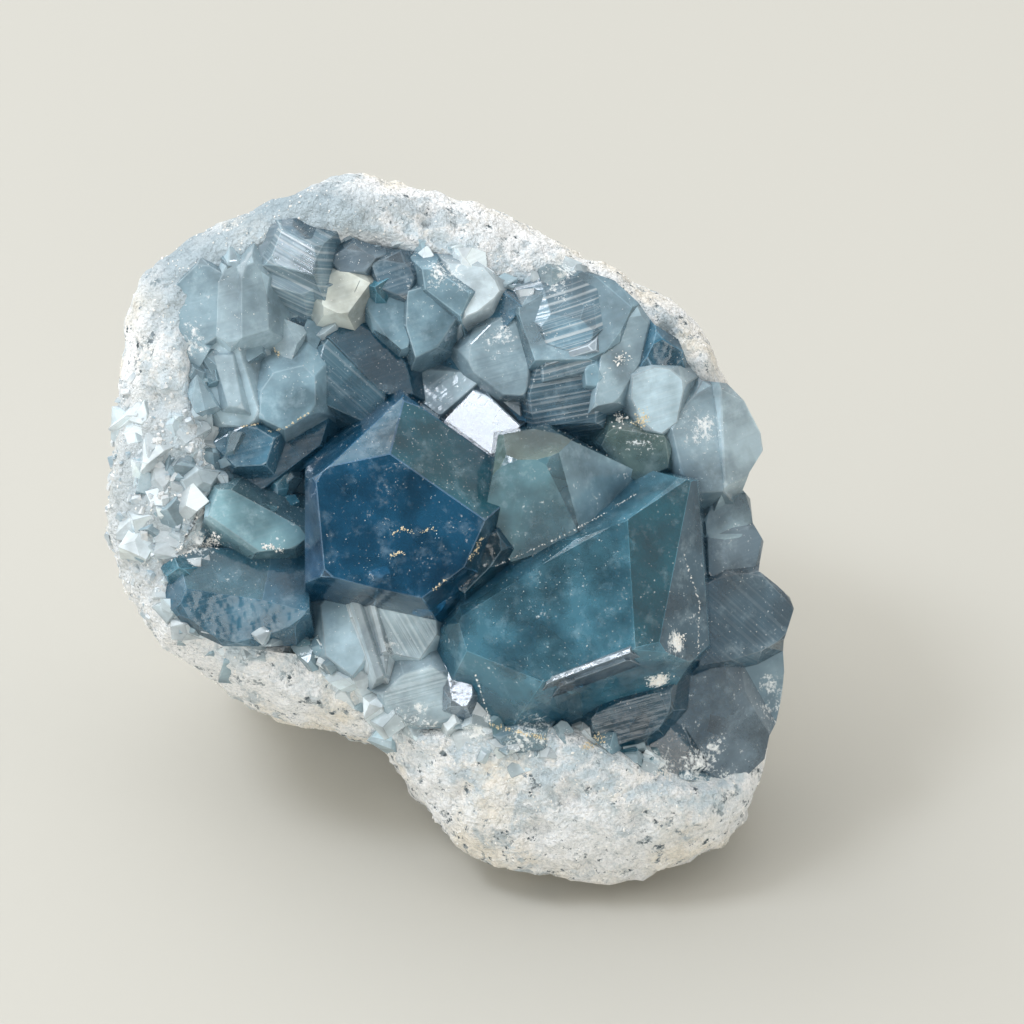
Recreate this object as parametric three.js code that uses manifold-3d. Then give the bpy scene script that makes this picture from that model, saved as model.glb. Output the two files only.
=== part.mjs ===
// A celestite geode: half of a rounded nodule with a chalky white rind, its open face filled with
// blue celestite crystals. The rind is one stone, and the crystals are one crust grown on the wall
// of its hollow, standing a hair's breadth off it so that each stays its own solid.
//
// Everything is laid out in the frame of the open face, in millimetres: u runs to the right, v up
// the face and w straight out of it. The whole stone then leans back so that it lies on its belly,
// with +Z up, the face looking towards -Y, and the middle of its footprint at the origin.

import * as THREE from "three";
import { ConvexGeometry } from "three/addons/geometries/ConvexGeometry.js";
import { mergeVertices } from "three/addons/utils/BufferGeometryUtils.js";
import Module from "manifold-3d";

const wasm = await Module();
wasm.setup();

// ---------------------------------------------------------------- driving dimensions, in mm
const LEAN_DEG = 54; // how far the open face stands up from lying flat on its back
const FLOOR_DROP = 44.5; // how far the resting surface lies below the middle of the face
const FOOTPRINT_MIDDLE = [-0.69, 15.6]; // of the leaning stone, along X and Y, before it is centred
const SEAM = 0.35; // clearance between the rind and the crust that lines it
const HOLLOW_MIDDLE = [0, 3, -19]; // the deepest point of the hollow
const BACK_MIDDLE = [-12, -18, -50]; // the point of the rind farthest behind the face
const BACK_FULLNESS = 0.78; // below 1 the back is boxier than an ellipsoid
const HOLLOW_STEEPNESS = 3; // above 2 the hollow has a flat floor and a steep wall
const BELLY_SOFTNESS = 5; // how gently the worn belly turns up from the flat that it lies on
const BELLY_HEIGHT = 30; // above this the stone isn't worn at all
const LUMP_SIZES = [15, 7, 3.7]; // how far apart the rind's swellings lie
const LUMP_HEIGHTS = [2.6, 1.5, 1];
const LUMPS_AT_RIM = 0.3; // the share of those heights that is left at the rim
const LUMPS_AT_BACK = 1.2;
const BED_MIDDLE = [0, 3, -10]; // the lowest part of the bed of small crystals in the hollow
const BED_BELOW_CREST = 0.8; // how far short of the rim the bed stops
const BED_STEEPNESS = 2.4; // as for the hollow
const BED_FLOOR = -26; // deeper than the hollow, whose wall ends the bed
const BED_ROUGHNESS = 0.8;
const BED_BUMP_SIZE = 3;
const BED_ROWS = [0.45, 0.7, 0.86, 1];
const BED_COLUMNS_PER_STATION = 2;
const DRUSE_COUNT = 50;
const DRUSE_SIZES = [2.2, 5];
const DRUSE_LEAN = 0.6; // the most that a druse crystal leans, in radians
const DRUSE_BAND = [0.66, 0.96]; // where it grows, as shares of the way out to the rim

// The stone's outline as seen straight onto the open face, anticlockwise from the right, each with
// the crest of the rim beside it: [outline u, v, w, crest u, v, w].
const STATIONS = [
  [36, 0, -14, 32, 0, -8],
  [35, 9, -15, 31, 8, -9],
  [34.2, 18, -15, 30, 16, -9],
  [31.5, 24.5, -15, 27.5, 21.5, -9],
  [25, 30.2, -15, 22.5, 27, -9],
  [18, 34.5, -15, 15.5, 31, -9],
  [10, 38.6, -15, 8, 31.5, -9],
  [1, 42.2, -14, 1, 34, -8],
  [-8, 44.2, -14, -7, 37, -7],
  [-17, 43.4, -13, -15, 38.5, -6],
  [-26, 40, -12, -23, 37, -5],
  [-34.5, 35.8, -12, -30, 33, -5],
  [-40, 30, -11, -34.5, 27.5, -4],
  [-42, 20, -10, -34, 19, -2],
  [-42.6, 11, -9, -32, 10, -1],
  [-43.2, 1, -9, -32, 1.5, 0],
  [-41.6, -6.5, -9, -36, -6, -1],
  [-37.5, -13.5, -10, -33, -11, -1.5],
  [-30, -19.3, -11, -27, -14.5, -2],
  [-22, -23.5, -12, -19, -15.5, -2],
  [-15, -24.8, -12, -14, -18.5, -3],
  [-9.5, -27.3, -13, -8.5, -22, -4],
  [-5, -33, -12, -3.5, -25.5, -1.5],
  [1, -40.5, -11, 3, -24.6, 0.5],
  [10, -43.6, -11, 11, -25, 1.2],
  [20, -44.6, -11, 19, -28, 0.8],
  [30, -41.2, -12, 27.5, -32, -1],
  [36.5, -35.6, -13, 33.5, -32, -5],
  [38.8, -28, -14, 35, -27, -8],
  [38, -19, -14, 33.5, -18, -9],
  [37, -9, -14, 32.5, -9, -8],
];
const COLUMNS_PER_STATION = 4;
const HOLLOW_ROWS = [0.4, 0.68, 0.88]; // shares of the way from the hollow's middle to the crest
const RIM_ROWS_DEG = [0, 22, 45, 68, 90]; // round the rim, from its crest to the outline
const BACK_ROWS_DEG = [102, 113, 124, 134, 144, 153, 162, 171]; // and on round the back

// ---------------------------------------------------------------- the crystals
// Each crystal is a solid with flat faces. Its main face passes through the point [u, v, w] and is
// turned by two angles in degrees, towards the right and then upwards. The corners run round that
// face, and each is followed by how steeply the side from it to the next corner falls away, in
// degrees from the plane of the open face. A cut is one more flat side: a point that it passes
// through, then the way it faces, as the angle round from +u and the angle up towards +w.
const CRYSTALS = [
  { name: "big navy block", face: [-6, 2, 8.6, -2, 6],
    corners: [[-17.3, 7.5, 44], [-8, 9.4, 42], [3.8, 1.2, 62], [1.2, -4.6, 66], [-4, -8.4, 72],
      [-9.5, -7.2, 72], [-16, -5.6, 62]],
    cuts: [[-18.8, 3, 0, 180, 2], [-13.4, 11.6, 0, 128, 12], [4.4, 9.4, 0, 55, 4]] },
  { name: "big teal wedge", face: [18, -6, 8.5, -11, 8],
    corners: [[21.3, 2.4, 24], [22.3, -15, 48], [11.5, -19, 46], [1.5, -15, 60], [0.3, -11, 74],
      [2.6, -6.5, 66], [16, -1, 56]],
    cuts: [[24, 2.7, 8, 95, 40], [27.4, -5, 6.4, 2, 42], [25, -15.6, 8, 285, 32],
      [31.2, -4, 0, 4, 6], [29.8, -17, 0, 320, 8], [28.6, 6.6, 0, 80, 4]] },
  { name: "upper streak", face: [16.5, -16.7, 10.15, -18, 20],
    corners: [[11.4, -18.4, 70], [21.6, -14.6, 70], [21.7, -15.1, 70], [11.5, -18.9, 70]] },
  { name: "lower streak", face: [17.2, -17.4, 9.4, -18, 20],
    corners: [[13, -18.8, 70], [21.4, -15.6, 70], [21.5, -16, 70], [13.1, -19.2, 70]] },
  { name: "pale gable", face: [10, 3, 6.8, 2, -20],
    corners: [[6.5, 8.6, 45], [12, 8.7, 42], [15.8, -1.2, 60], [7, -4, 70], [4.2, 0, 74],
      [4, 6, 55]],
    cuts: [[9.2, 12.8, 0, 100, 4], [18.4, 9.5, 0, 62, 4], [4.4, 8.4, 0, 170, 4],
      [15.4, -0.2, 5.4, 346, 62]] },
  { name: "mirror facet", face: [2, 14, -4.5, -18, 20],
    corners: [[-2.3, 14.3, 50], [2.7, 18.2, 60], [8.2, 13, 80], [5, 9, 80], [0, 12.3, 80]] },
  { name: "left stair", face: [-2, 18.2, -6.6, -14, 23],
    corners: [[-5.8, 19.2, 60], [-4, 20.3, 55], [2.2, 19.8, 60], [3, 18.6, 70], [-2, 14.2, 70],
      [-5, 16.6, 70]] },
  { name: "right stair", face: [5.5, 16, -5.2, -13, 16],
    corners: [[3, 18.4, 55], [8, 17.2, 70], [8.4, 12.8, 70], [4.6, 13.6, 70]] },
  { name: "dark slit", face: [3, -3.6, 6.4, -6, -6],
    corners: [[4.2, -0.6, 66], [5.2, -0.2, 66], [6.2, -2, 60], [4.4, -4.6, 66], [1.2, -7.8, 70],
      [0, -7, 66], [1.8, -3.8, 66]] },
  { name: "navy slope", face: [1.5, 24, -7, -30, 10],
    corners: [[-4.6, 20, 60], [-2.6, 23.4, 55], [0.5, 27.2, 50], [6, 30, 60], [8.4, 28, 70],
      [2, 20, 70], [0, 19, 70]] },
  { name: "grey knuckle", face: [5.5, 22, -4, -8, 12],
    corners: [[1, 22.4, 55], [2.6, 24.8, 50], [7.4, 27.6, 60], [8.8, 24, 66], [9.3, 18.5, 70],
      [8.6, 16.8, 70], [6, 16.9, 66], [2.4, 19.6, 60]] },
  { name: "hazy crown", face: [14.5, 27, -3.6, 2, 24],
    corners: [[7.8, 27.6, 50], [12, 31.4, 50], [15.7, 32.6, 50], [20.3, 31, 50], [22.2, 28, 50],
      [20, 23.4, 60], [17.6, 21.4, 66], [10, 21.2, 66], [9, 24, 60]] },
  { name: "striped oval", face: [14.2, 25.1, -2.2, 0, 16],
    corners: [[10.8, 25.4, 34], [12, 27, 34], [14.6, 27.7, 34], [17, 26.7, 40], [17.7, 24.8, 50],
      [16.4, 23, 50], [13.8, 22.5, 50], [11.5, 23.3, 40]] },
  { name: "lower crown", face: [14, 18.5, -2.3, 0, 8],
    corners: [[10.6, 21.4, 50], [17.3, 22.8, 50], [18, 18, 60], [17.6, 13.4, 70], [9.8, 13, 70],
      [9.3, 17, 66]] },
  { name: "bright step", face: [14.4, 21.9, -1.3, -12, 18],
    corners: [[11.2, 21.4, 60], [17.4, 23.3, 60], [17.5, 22.5, 66], [11.3, 20.6, 66]] },
  { name: "dim step", face: [14.2, 20, -1.7, -4, 4],
    corners: [[10.9, 20.4, 60], [17.2, 21.9, 60], [17, 20, 66], [11, 18.6, 66]] },
  { name: "small lens", face: [17, 19.4, -1.3, -6, 6],
    corners: [[16.2, 20.4, 60], [17.6, 20.8, 60], [18.3, 19, 60], [17.6, 17.9, 66],
      [16.4, 18.1, 66]] },
  { name: "grey flank", face: [21, 22, -3, 24, 8],
    corners: [[17.4, 15.4, 66], [18.3, 21.8, 50], [22.4, 28, 55], [24.3, 25.9, 60],
      [24.1, 22.6, 60], [20.2, 16, 66]] },
  { name: "navy foot", face: [14, 15, -5, 6, -12],
    corners: [[9.6, 17.6, 60], [18, 18.2, 60], [17.8, 13, 70], [14, 10.6, 75], [10.6, 12.2, 75],
      [9.4, 14, 70]] },
  { name: "blue nub", face: [25.4, 16.5, -2.6, 4, 8],
    corners: [[22.1, 16.4, 55], [22.2, 19.2, 50], [25, 20.4, 60], [27.8, 20.1, 60],
      [28.8, 18.2, 66], [27.8, 13.4, 66], [25.9, 12, 60], [23.8, 12.6, 60]] },
  { name: "dark recess", face: [26, 21.8, -3.6, 10, -10],
    corners: [[23.4, 20.4, 60], [25.3, 24.4, 55], [28.6, 22.4, 60], [28.4, 20.2, 60]] },
  { name: "green block", face: [22.5, 10, -1.6, 0, 12],
    corners: [[18.3, 10.5, 60], [19.5, 13, 55], [22, 12.9, 55], [26, 12, 66], [26.9, 10.3, 66],
      [26.6, 7.8, 60], [22.8, 6, 70], [20.2, 7.8, 70]] },
  { name: "frosted shoulder", face: [31, 11.5, -3.2, 22, 16],
    corners: [[27.2, 12.6, 50], [29, 15.8, 50], [31.2, 18, 50], [34, 18.3, 60], [34.6, 12, 66],
      [33.6, 4.8, 60], [30.6, 4.6, 55], [28.4, 7, 50]] },
  { name: "shoulder tip", face: [35.4, 11.6, -4.6, 38, 10],
    corners: [[33.4, 17.6, 50], [36.2, 16.2, 66], [38.4, 12, 70], [38.6, 9.8, 70],
      [36.8, 6.8, 60], [33.8, 5.4, 60], [33.6, 10, 55]] },
  { name: "upper step", face: [34, 1.5, -5, 28, 10],
    corners: [[31.4, 1.2, 60], [32.4, 3.4, 60], [34.2, 4.5, 66], [36.6, 4.4, 72], [37.3, 2, 74],
      [37.5, 0, 66], [35, -1.4, 66], [31.6, -1, 60]] },
  { name: "lower step", face: [35, -3, -5, 28, 4],
    corners: [[31.6, -1, 55], [35, 0.2, 60], [37.6, 0.6, 70], [39, -1.4, 74], [38.2, -4, 70],
      [38, -5.4, 66], [34.5, -6.6, 66], [31.8, -5.8, 60]] },
  { name: "smoky spur", face: [36, -11, -4, 24, 4],
    corners: [[31.2, -7, 55], [34, -5.6, 55], [38.2, -5.5, 60], [40.6, -7.1, 70],
      [42.8, -10, 74], [41.6, -13.6, 70], [38.5, -15.3, 66], [34.5, -16.4, 60], [30.6, -17, 55],
      [30.8, -12, 60]] },
  { name: "white edge", face: [38, -19, -8, 30, 0],
    corners: [[33.6, -17.2, 55], [36.2, -15.2, 60], [39, -14.7, 66], [41.2, -13.9, 74],
      [41.7, -18, 76], [41.1, -22, 70], [40.5, -24.3, 66], [38.6, -23.6, 60], [36, -20.8, 60]] },
  { name: "smoky base", face: [33, -24.5, -4.4, 20, -10],
    corners: [[27, -20.4, 50], [30.4, -17.6, 50], [33.2, -17.3, 50], [36.6, -21, 60],
      [39.7, -26, 66], [38.9, -29, 66], [36, -31.8, 60], [33, -31.6, 60], [29.6, -29, 60],
      [26.6, -24, 60]] },
  { name: "navy corner", face: [27, -27.5, -2.6, 0, -12],
    corners: [[24.2, -26, 55], [26.4, -23.6, 50], [28.6, -25.4, 60], [30.8, -29.6, 66],
      [27.6, -31.2, 66], [24.4, -30.6, 60]] },
  { name: "bottle green block", face: [22, -24, 1, 2, -16],
    corners: [[17, -23.6, 55], [18.4, -22, 40], [24, -20.6, 40], [26.9, -20, 60],
      [26.9, -22.6, 66], [25.4, -24.9, 66], [22, -26.9, 70], [19.2, -27.3, 66], [17.4, -25.8, 60]] },
  { name: "white petal", face: [-6.5, -11.5, 1.8, -6, -5],
    corners: [[-10, -7.6, 55], [-5, -7.6, 60], [-2.4, -9.6, 66], [-2.2, -13, 60],
      [-4.4, -16.2, 60], [-7.6, -15.6, 50], [-10.4, -11, 50]] },
  { name: "left vein", face: [-11.4, -12.4, 1.7, -16, 0],
    corners: [[-13.6, -6.8, 66], [-12.8, -6.4, 66], [-8.9, -18.2, 66], [-9.7, -18.6, 66]] },
  { name: "right vein", face: [-9.8, -10.6, 2.1, -10, 0],
    corners: [[-11.6, -6, 66], [-10.8, -6.2, 66], [-8.4, -15.2, 66], [-9.1, -15.4, 66]] },
  { name: "veined blade", face: [-11, -12, 1, -16, 0],
    corners: [[-14, -6.8, 60], [-11.4, -5.4, 66], [-9.6, -8.6, 60], [-8.6, -14, 60],
      [-8.6, -18.8, 66], [-10.4, -17.8, 60], [-12.8, -11, 60]] },
  { name: "pale shard", face: [-13.5, -13, 0, -10, 6],
    corners: [[-16.9, -9.4, 60], [-14.6, -7, 60], [-12, -8.4, 60], [-11, -16, 66],
      [-12.8, -18.4, 66], [-16.2, -15.8, 60]] },
  { name: "teal chip", face: [-6.5, -17.5, -0.6, 0, 0],
    corners: [[-9.2, -15, 60], [-4, -15.8, 66], [-5, -18.6, 66], [-8.8, -20.4, 60]] },
  { name: "pale boss", face: [-4, -20.8, 1.2, 0, -18],
    corners: [[-9.2, -20.6, 50], [-6.4, -18, 45], [-3, -17, 50], [-0.8, -18.2, 60],
      [-0.2, -21, 60], [0.6, -23.8, 66], [-4.6, -24.6, 66], [-8.4, -23.2, 60]] },
  { name: "flashing facet", face: [0.4, -18.4, 2.3, -18, 20],
    corners: [[-1.7, -15.3, 55], [0.8, -14.6, 66], [2, -17.6, 66], [2.2, -20.6, 66],
      [1.4, -22, 66], [-0.2, -21.8, 60], [-1.6, -18.6, 60]] },
  { name: "white blade", face: [3.2, -20.8, 1.7, 10, -10],
    corners: [[2, -17.6, 60], [3.6, -20, 70], [4.8, -23.8, 70], [3.2, -24.6, 66],
      [1.6, -22.4, 60]] },
  { name: "teal block", face: [-0.8, -12.5, 0, 0, 0],
    corners: [[-3, -10.2, 60], [0.8, -9, 66], [2, -13, 66], [0.4, -15.4, 60], [-3, -15.2, 60]] },
  { name: "teal skirt", face: [-4, -5.5, 2.4, 6, -20],
    corners: [[-10.4, -5.2, 66], [-3, -3, 66], [3, -2, 70], [0.6, -6, 66], [-3.6, -8.8, 60],
      [-9.2, -8.4, 60]] },
  { name: "periwinkle lens", face: [-27, -10, 1.6, -3, -12],
    corners: [[-33.5, -7.4, 32], [-24, -8.8, 32], [-18.4, -10.2, 60], [-20, -11.8, 55],
      [-26, -14.1, 60], [-28.8, -14.1, 60], [-31, -12.7, 55], [-34.6, -10, 50]],
    cuts: [[-27, -2.5, 0, 90, 6], [-36.2, -5.2, 0, 165, 6], [-18.3, -6, 0, 4, 4]] },
  { name: "aqua box", face: [-23.5, 1.5, 0.9, -2, 2],
    corners: [[-29.3, 5.7, 66], [-28, 5, 70], [-18.8, 5.1, 76], [-18.5, -1, 70], [-20, -2.3, 66],
      [-25, -2.8, 60], [-28.6, -0.2, 60], [-30.9, 1.4, 60]] },
  { name: "navy chip", face: [-26.5, 10.5, -2, -10, 12],
    corners: [[-30.5, 10.8, 55], [-28.8, 12.8, 55], [-26, 13.4, 60], [-22.7, 11.4, 66],
      [-23.7, 8.1, 66], [-27.5, 7.9, 60]] },
  { name: "dusty shelf", face: [-20.4, 9.5, -4.2, -6, 16],
    corners: [[-23, 12.2, 60], [-17, 14.7, 66], [-13.6, 13.2, 66], [-17, 10.6, 66],
      [-18.8, 4.6, 70], [-27, 4.8, 66], [-27.7, 8, 60]] },
  { name: "sky blue cube", face: [-21, 16.8, -2.2, -6, 8],
    corners: [[-24.5, 14, 50], [-24.4, 17.4, 50], [-22.8, 19.7, 50], [-19.1, 20.6, 50],
      [-17.6, 19.1, 60], [-17.5, 14.9, 66], [-21.4, 12.5, 66]] },
  { name: "tall blade", face: [-29.5, 18, -3.2, -10, 2],
    corners: [[-34, 23.2, 60], [-30, 24.6, 60], [-27.4, 23.6, 55], [-24.4, 14.2, 66],
      [-26.4, 12.8, 66], [-30, 13.2, 60], [-31.8, 16, 55], [-32.8, 20, 55]] },
  { name: "bright strip", face: [-28.4, 18.6, -1.9, -12, 12],
    corners: [[-30.3, 21.8, 60], [-27.9, 21.9, 66], [-26.6, 15.2, 66], [-28.4, 15.4, 60]] },
  { name: "hazy blade", face: [-27.6, 28, -2.4, -14, 8],
    corners: [[-30, 24.2, 55], [-29.8, 31, 55], [-28, 34.6, 60], [-26.6, 33, 60],
      [-26.2, 24.4, 66], [-28, 23, 60]] },
  { name: "second hazy blade", face: [-25.2, 28.4, -2, 14, 2],
    corners: [[-26.8, 24, 60], [-26.8, 32.6, 60], [-25.6, 34, 60], [-23.8, 31.6, 60],
      [-23.4, 25, 60]] },
  { name: "frosted corner", face: [-32, 28, -3.4, -10, 8],
    corners: [[-36, 25, 60], [-35.8, 30.2, 60], [-32, 33.8, 60], [-29, 32, 60], [-28.8, 25, 60],
      [-32, 22.8, 60]] },
  { name: "slate slab", face: [-13, 18.5, -4.2, -4, 10],
    corners: [[-17.6, 22, 55], [-16, 24, 55], [-8.8, 17.4, 66], [-9, 15.2, 66],
      [-11.6, 13.6, 66], [-17.4, 16.2, 60]] },
  { name: "dark ridge", face: [-10.5, 21.8, -5, 10, 20],
    corners: [[-16, 24.2, 60], [-13.6, 26.4, 60], [-9.8, 25.4, 60], [-6.2, 20.8, 60],
      [-5.4, 17, 66], [-9, 17, 66]] },
  { name: "shadow shelf", face: [-17, 25, -6.6, 0, 12],
    corners: [[-23.2, 24.6, 60], [-18, 28.4, 60], [-13, 27.2, 66], [-8.8, 21, 66], [-16, 23, 70],
      [-20, 20.6, 66]] },
  { name: "striped top", face: [-20.2, 34.8, -1.5, -17, 20],
    corners: [[-23.4, 33.4, 60], [-21.8, 37.6, 60], [-17.2, 35.2, 66], [-17.8, 31.8, 60]] },
  { name: "striped top flank", face: [-23.6, 35.4, -4, -24, 14],
    corners: [[-26.4, 34, 60], [-24.2, 38, 60], [-20.6, 38.2, 60], [-18.6, 36.4, 66],
      [-23, 32.6, 60], [-25, 32.4, 60]] },
  { name: "striped foot", face: [-21.4, 31.2, -3.2, -12, 16],
    corners: [[-25, 32.6, 60], [-23.4, 33, 60], [-17.6, 30.4, 60], [-19, 29.4, 60],
      [-23.2, 30.6, 60]] },
  { name: "cream facet", face: [-14.2, 29.8, -3.6, 0, 16],
    corners: [[-17.4, 29.4, 60], [-15.4, 32.6, 60], [-12.3, 32.4, 60], [-10.7, 31, 60],
      [-13.6, 27, 60], [-16.2, 27.4, 60]] },
  { name: "violet triangle", face: [-8.5, 31.8, -4.4, 6, 14],
    corners: [[-10.6, 33.6, 60], [-7.4, 34.4, 55], [-5, 32.2, 60], [-6.2, 29, 60],
      [-9.5, 30.4, 60]] },
  { name: "rim triangle", face: [-13, 33.8, -4.6, -4, 16],
    corners: [[-16, 34.2, 60], [-13, 35.8, 60], [-10, 34.2, 60], [-11.4, 32.4, 60],
      [-14.6, 32.4, 60]] },
  { name: "green grey chip", face: [-9, 26, -4.6, -4, 8],
    corners: [[-12.9, 27.9, 60], [-10.5, 29.9, 60], [-6, 29.2, 60], [-5.2, 26.6, 60],
      [-6, 22.9, 66], [-8.5, 22, 66], [-10.1, 25.5, 60]] },
  { name: "white plate", face: [2, 30.5, -4.6, 4, 18],
    corners: [[-1.5, 33.8, 60], [4.4, 33, 60], [5.6, 30, 60], [4, 27.9, 60], [1, 26.6, 66],
      [-0.4, 30, 70]] },
  { name: "grey plate", face: [-1.2, 30.3, -3.5, 0, 10],
    corners: [[-4.2, 32.8, 60], [-2.7, 32.8, 60], [1.9, 29.6, 66], [0.6, 26.8, 66],
      [-3.8, 30.2, 60]] },
  { name: "speckled chip", face: [-3.6, 26.2, -4.1, 6, 4],
    corners: [[-6, 29.9, 60], [-3.8, 30.6, 60], [0.5, 27.2, 60], [-2.3, 22.9, 66],
      [-5, 21.6, 66], [-6.2, 25.6, 60]] },
  { name: "rim lens", face: [8.5, -26.4, 2, 0, -26],
    corners: [[5.4, -26, 50], [8, -25, 50], [11, -25.4, 60], [11.2, -27.4, 66], [6.4, -27.8, 66]] },
];
const CRYSTAL_ROOT = -17; // how deep the crystals go before the rind's wall ends them

// Where the crust ends, [u, v] clockwise from the top: along the inside of the rim, and down the
// right where the rim is broken away and the crystals stand free.
const CRUST_EDGE = [
  [-18, 39.4], [-12, 36.4], [-8, 35.4], [-4, 35], [2, 34.4], [5.8, 31.6], [8, 30.8], [12, 32.2],
  [16, 32.8], [20, 31.4], [23, 28.6], [25, 25.8], [28, 24], [29.2, 21], [31, 18.8], [34.2, 18.4],
  [36.4, 16.2], [38.5, 12.2], [38.8, 10], [37, 7.2], [36.2, 5], [37.2, 3.9], [37.5, 0.8],
  [38.9, -1.5], [38.2, -5.2], [40.6, -7.1], [42.2, -8.6], [42.7, -10], [41.4, -14], [41.6, -18],
  [41.3, -21], [40.6, -24.4], [39.6, -26], [39, -29], [36.4, -31.4], [33, -31.8], [24.2, -30.9],
  [23.6, -27.6], [19.5, -28], [16.6, -25.6], [11.4, -27.8], [5, -28], [4.6, -24.8], [-5, -25],
  [-9.4, -23.6], [-9.8, -20.6], [-13.6, -18.6], [-17, -16], [-20, -14.6], [-29, -14.6],
  [-33.6, -12.4], [-36.6, -8.6], [-37, -4.6], [-32.6, -2.2], [-31.4, 1.4], [-31, 6], [-32, 10],
  [-34.6, 20], [-36.4, 25.4], [-36, 30.4], [-32, 34.2], [-26.6, 37], [-24.8, 38.8]];

// Pits weathered into the rim: [u, v, w, radius].
const PITS = [
  [14.6, -33, 1, 2], [0.4, -33, -0.6, 1.7], [10.8, -37.6, -1.8, 1.8], [16.6, -42, -5.6, 1.6],
  [7.4, -33, 0.6, 1.3], [23, -36, -1, 1.5], [-34, 8, -0.4, 1.6], [-36.6, -1.2, -1.6, 1.8],
  [-38, 16, -3.6, 1.7], [26.6, 24.6, -8.6, 1.8], [13, 36, -9, 1.7], [-3, 40, -7.6, 1.8]];

// ---------------------------------------------------------------- helpers
// A number from 0 to 1 for each point of a whole-number grid.
function gridValue(i, j, k) {
  let h = (Math.imul(i, 374761393) + Math.imul(j, 668265263) + Math.imul(k, 1440662683)) | 0;
  h = Math.imul(h ^ (h >>> 13), 1274126177);
  return ((h ^ (h >>> 16)) >>> 0) / 4294967296;
}

// Smooth noise from -1 to 1, with one swelling or dip to each unit of length.
function noise(x, y, z) {
  const [i, j, k] = [Math.floor(x), Math.floor(y), Math.floor(z)];
  const ease = (t) => t * t * (3 - 2 * t);
  const [a, b, c] = [ease(x - i), ease(y - j), ease(z - k)];
  let sum = 0;
  for (const [di, wi] of [[0, 1 - a], [1, a]])
    for (const [dj, wj] of [[0, 1 - b], [1, b]])
      for (const [dk, wk] of [[0, 1 - c], [1, c]])
        sum += wi * wj * wk * gridValue(i + di, j + dj, k + dk);
  return 2 * sum - 1;
}

// A closed smooth curve through rows of numbers, at row number s, which may be a fraction.
function smoothRow(rows, s) {
  const i = Math.floor(s);
  const t = s - i;
  const n = rows.length;
  const [a, b, c, d] = [i - 1, i, i + 1, i + 2].map((k) => rows[((k % n) + n) % n]);
  return b.map((_, m) => 0.5 * (2 * b[m] + (c[m] - a[m]) * t
    + (2 * a[m] - 5 * b[m] + 4 * c[m] - d[m]) * t * t
    + (3 * b[m] - a[m] - 3 * c[m] + d[m]) * t * t * t));
}

// Repeatable random numbers from 0 to 1.
function randomSource(seed) {
  let state = seed;
  return () => {
    state = (state + 0x6d2b79f5) | 0;
    let t = Math.imul(state ^ (state >>> 15), 1 | state);
    t = (t + Math.imul(t ^ (t >>> 7), 61 | t)) ^ t;
    return ((t ^ (t >>> 14)) >>> 0) / 4294967296;
  };
}

function solidOf(geometry) {
  const bare = geometry.clone();
  bare.deleteAttribute("normal");
  bare.deleteAttribute("uv");
  const merged = mergeVertices(bare, 1e-4);
  return new wasm.Manifold(new wasm.Mesh({
    numProp: 3,
    vertProperties: new Float32Array(merged.attributes.position.array),
    triVerts: new Uint32Array(merged.index.array),
  }));
}

function geometryOf(solid) {
  const mesh = solid.getMesh();
  return new THREE.BufferGeometry()
    .setAttribute("position", new THREE.BufferAttribute(mesh.vertProperties, 3))
    .setIndex(new THREE.BufferAttribute(mesh.triVerts, 1));
}

// The largest of the separate lumps that a cut may leave.
function mainLump(solid) {
  return solid.decompose().reduce((a, b) => (b.volume() > a.volume() ? b : a));
}

const joinAll = (solids) => solids.reduce((a, b) => a.add(b));

// ---------------------------------------------------------------- the rind
// A row of the rind's skin that every column crosses: a share of the way from the hollow's middle
// to the crest of the rim, or an angle over the rim and round the back.
const ROWS = [
  ...HOLLOW_ROWS.map((share) => ({ share })),
  ...[...RIM_ROWS_DEG, ...BACK_ROWS_DEG].map((deg) => ({ angle: THREE.MathUtils.degToRad(deg) })),
];

function skinPoint(station, row) {
  const [ou, ov, ow, cu, cv, cw] = smoothRow(STATIONS, station);
  const [hu, hv, hw] = HOLLOW_MIDDLE;
  const [bu, bv, bw] = BACK_MIDDLE;
  if (row.share !== undefined) {
    const f = row.share;
    return [hu + (cu - hu) * f, hv + (cv - hv) * f, hw + (cw - hw) * f ** HOLLOW_STEEPNESS];
  }
  const [sine, cosine] = [Math.sin(row.angle), Math.cos(row.angle)];
  if (cosine >= 0)
    return [cu + (ou - cu) * sine, cv + (ov - cv) * sine, ow + (cw - ow) * cosine];
  const out = sine ** BACK_FULLNESS;
  const back = (-cosine) ** BACK_FULLNESS;
  return [bu + (ou - bu) * out, bv + (ov - bv) * out, ow + (bw - ow) * back];
}

// The rim's outline is already as lumpy as it should be, so the swellings grow towards the back.
const lumpiness = (row) => THREE.MathUtils.lerp(
  LUMPS_AT_RIM, LUMPS_AT_BACK, Math.max(0, -Math.cos(row?.angle ?? 0)));

function lumps(u, v, w) {
  return LUMP_SIZES.reduce((sum, size, i) => sum
    + LUMP_HEIGHTS[i] * noise(u / size + 7 * i, v / size, w / size), 0);
}

const LEAN = THREE.MathUtils.degToRad(LEAN_DEG);
const heightOf = (v, w) => v * Math.sin(LEAN) + w * Math.cos(LEAN) + FLOOR_DROP;

// Wears the belly towards the flat that the stone lies on: a point is moved straight up or down.
function worn([u, v, w]) {
  const height = heightOf(v, w);
  const eased = 0.5 * (height + Math.hypot(height, BELLY_SOFTNESS)) - 0.3 * BELLY_SOFTNESS;
  const fade = THREE.MathUtils.clamp(1 - height / BELLY_HEIGHT, 0, 1);
  const lift = (eased - height) * fade;
  return [u, v + lift * Math.sin(LEAN), w + lift * Math.cos(LEAN)];
}

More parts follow.
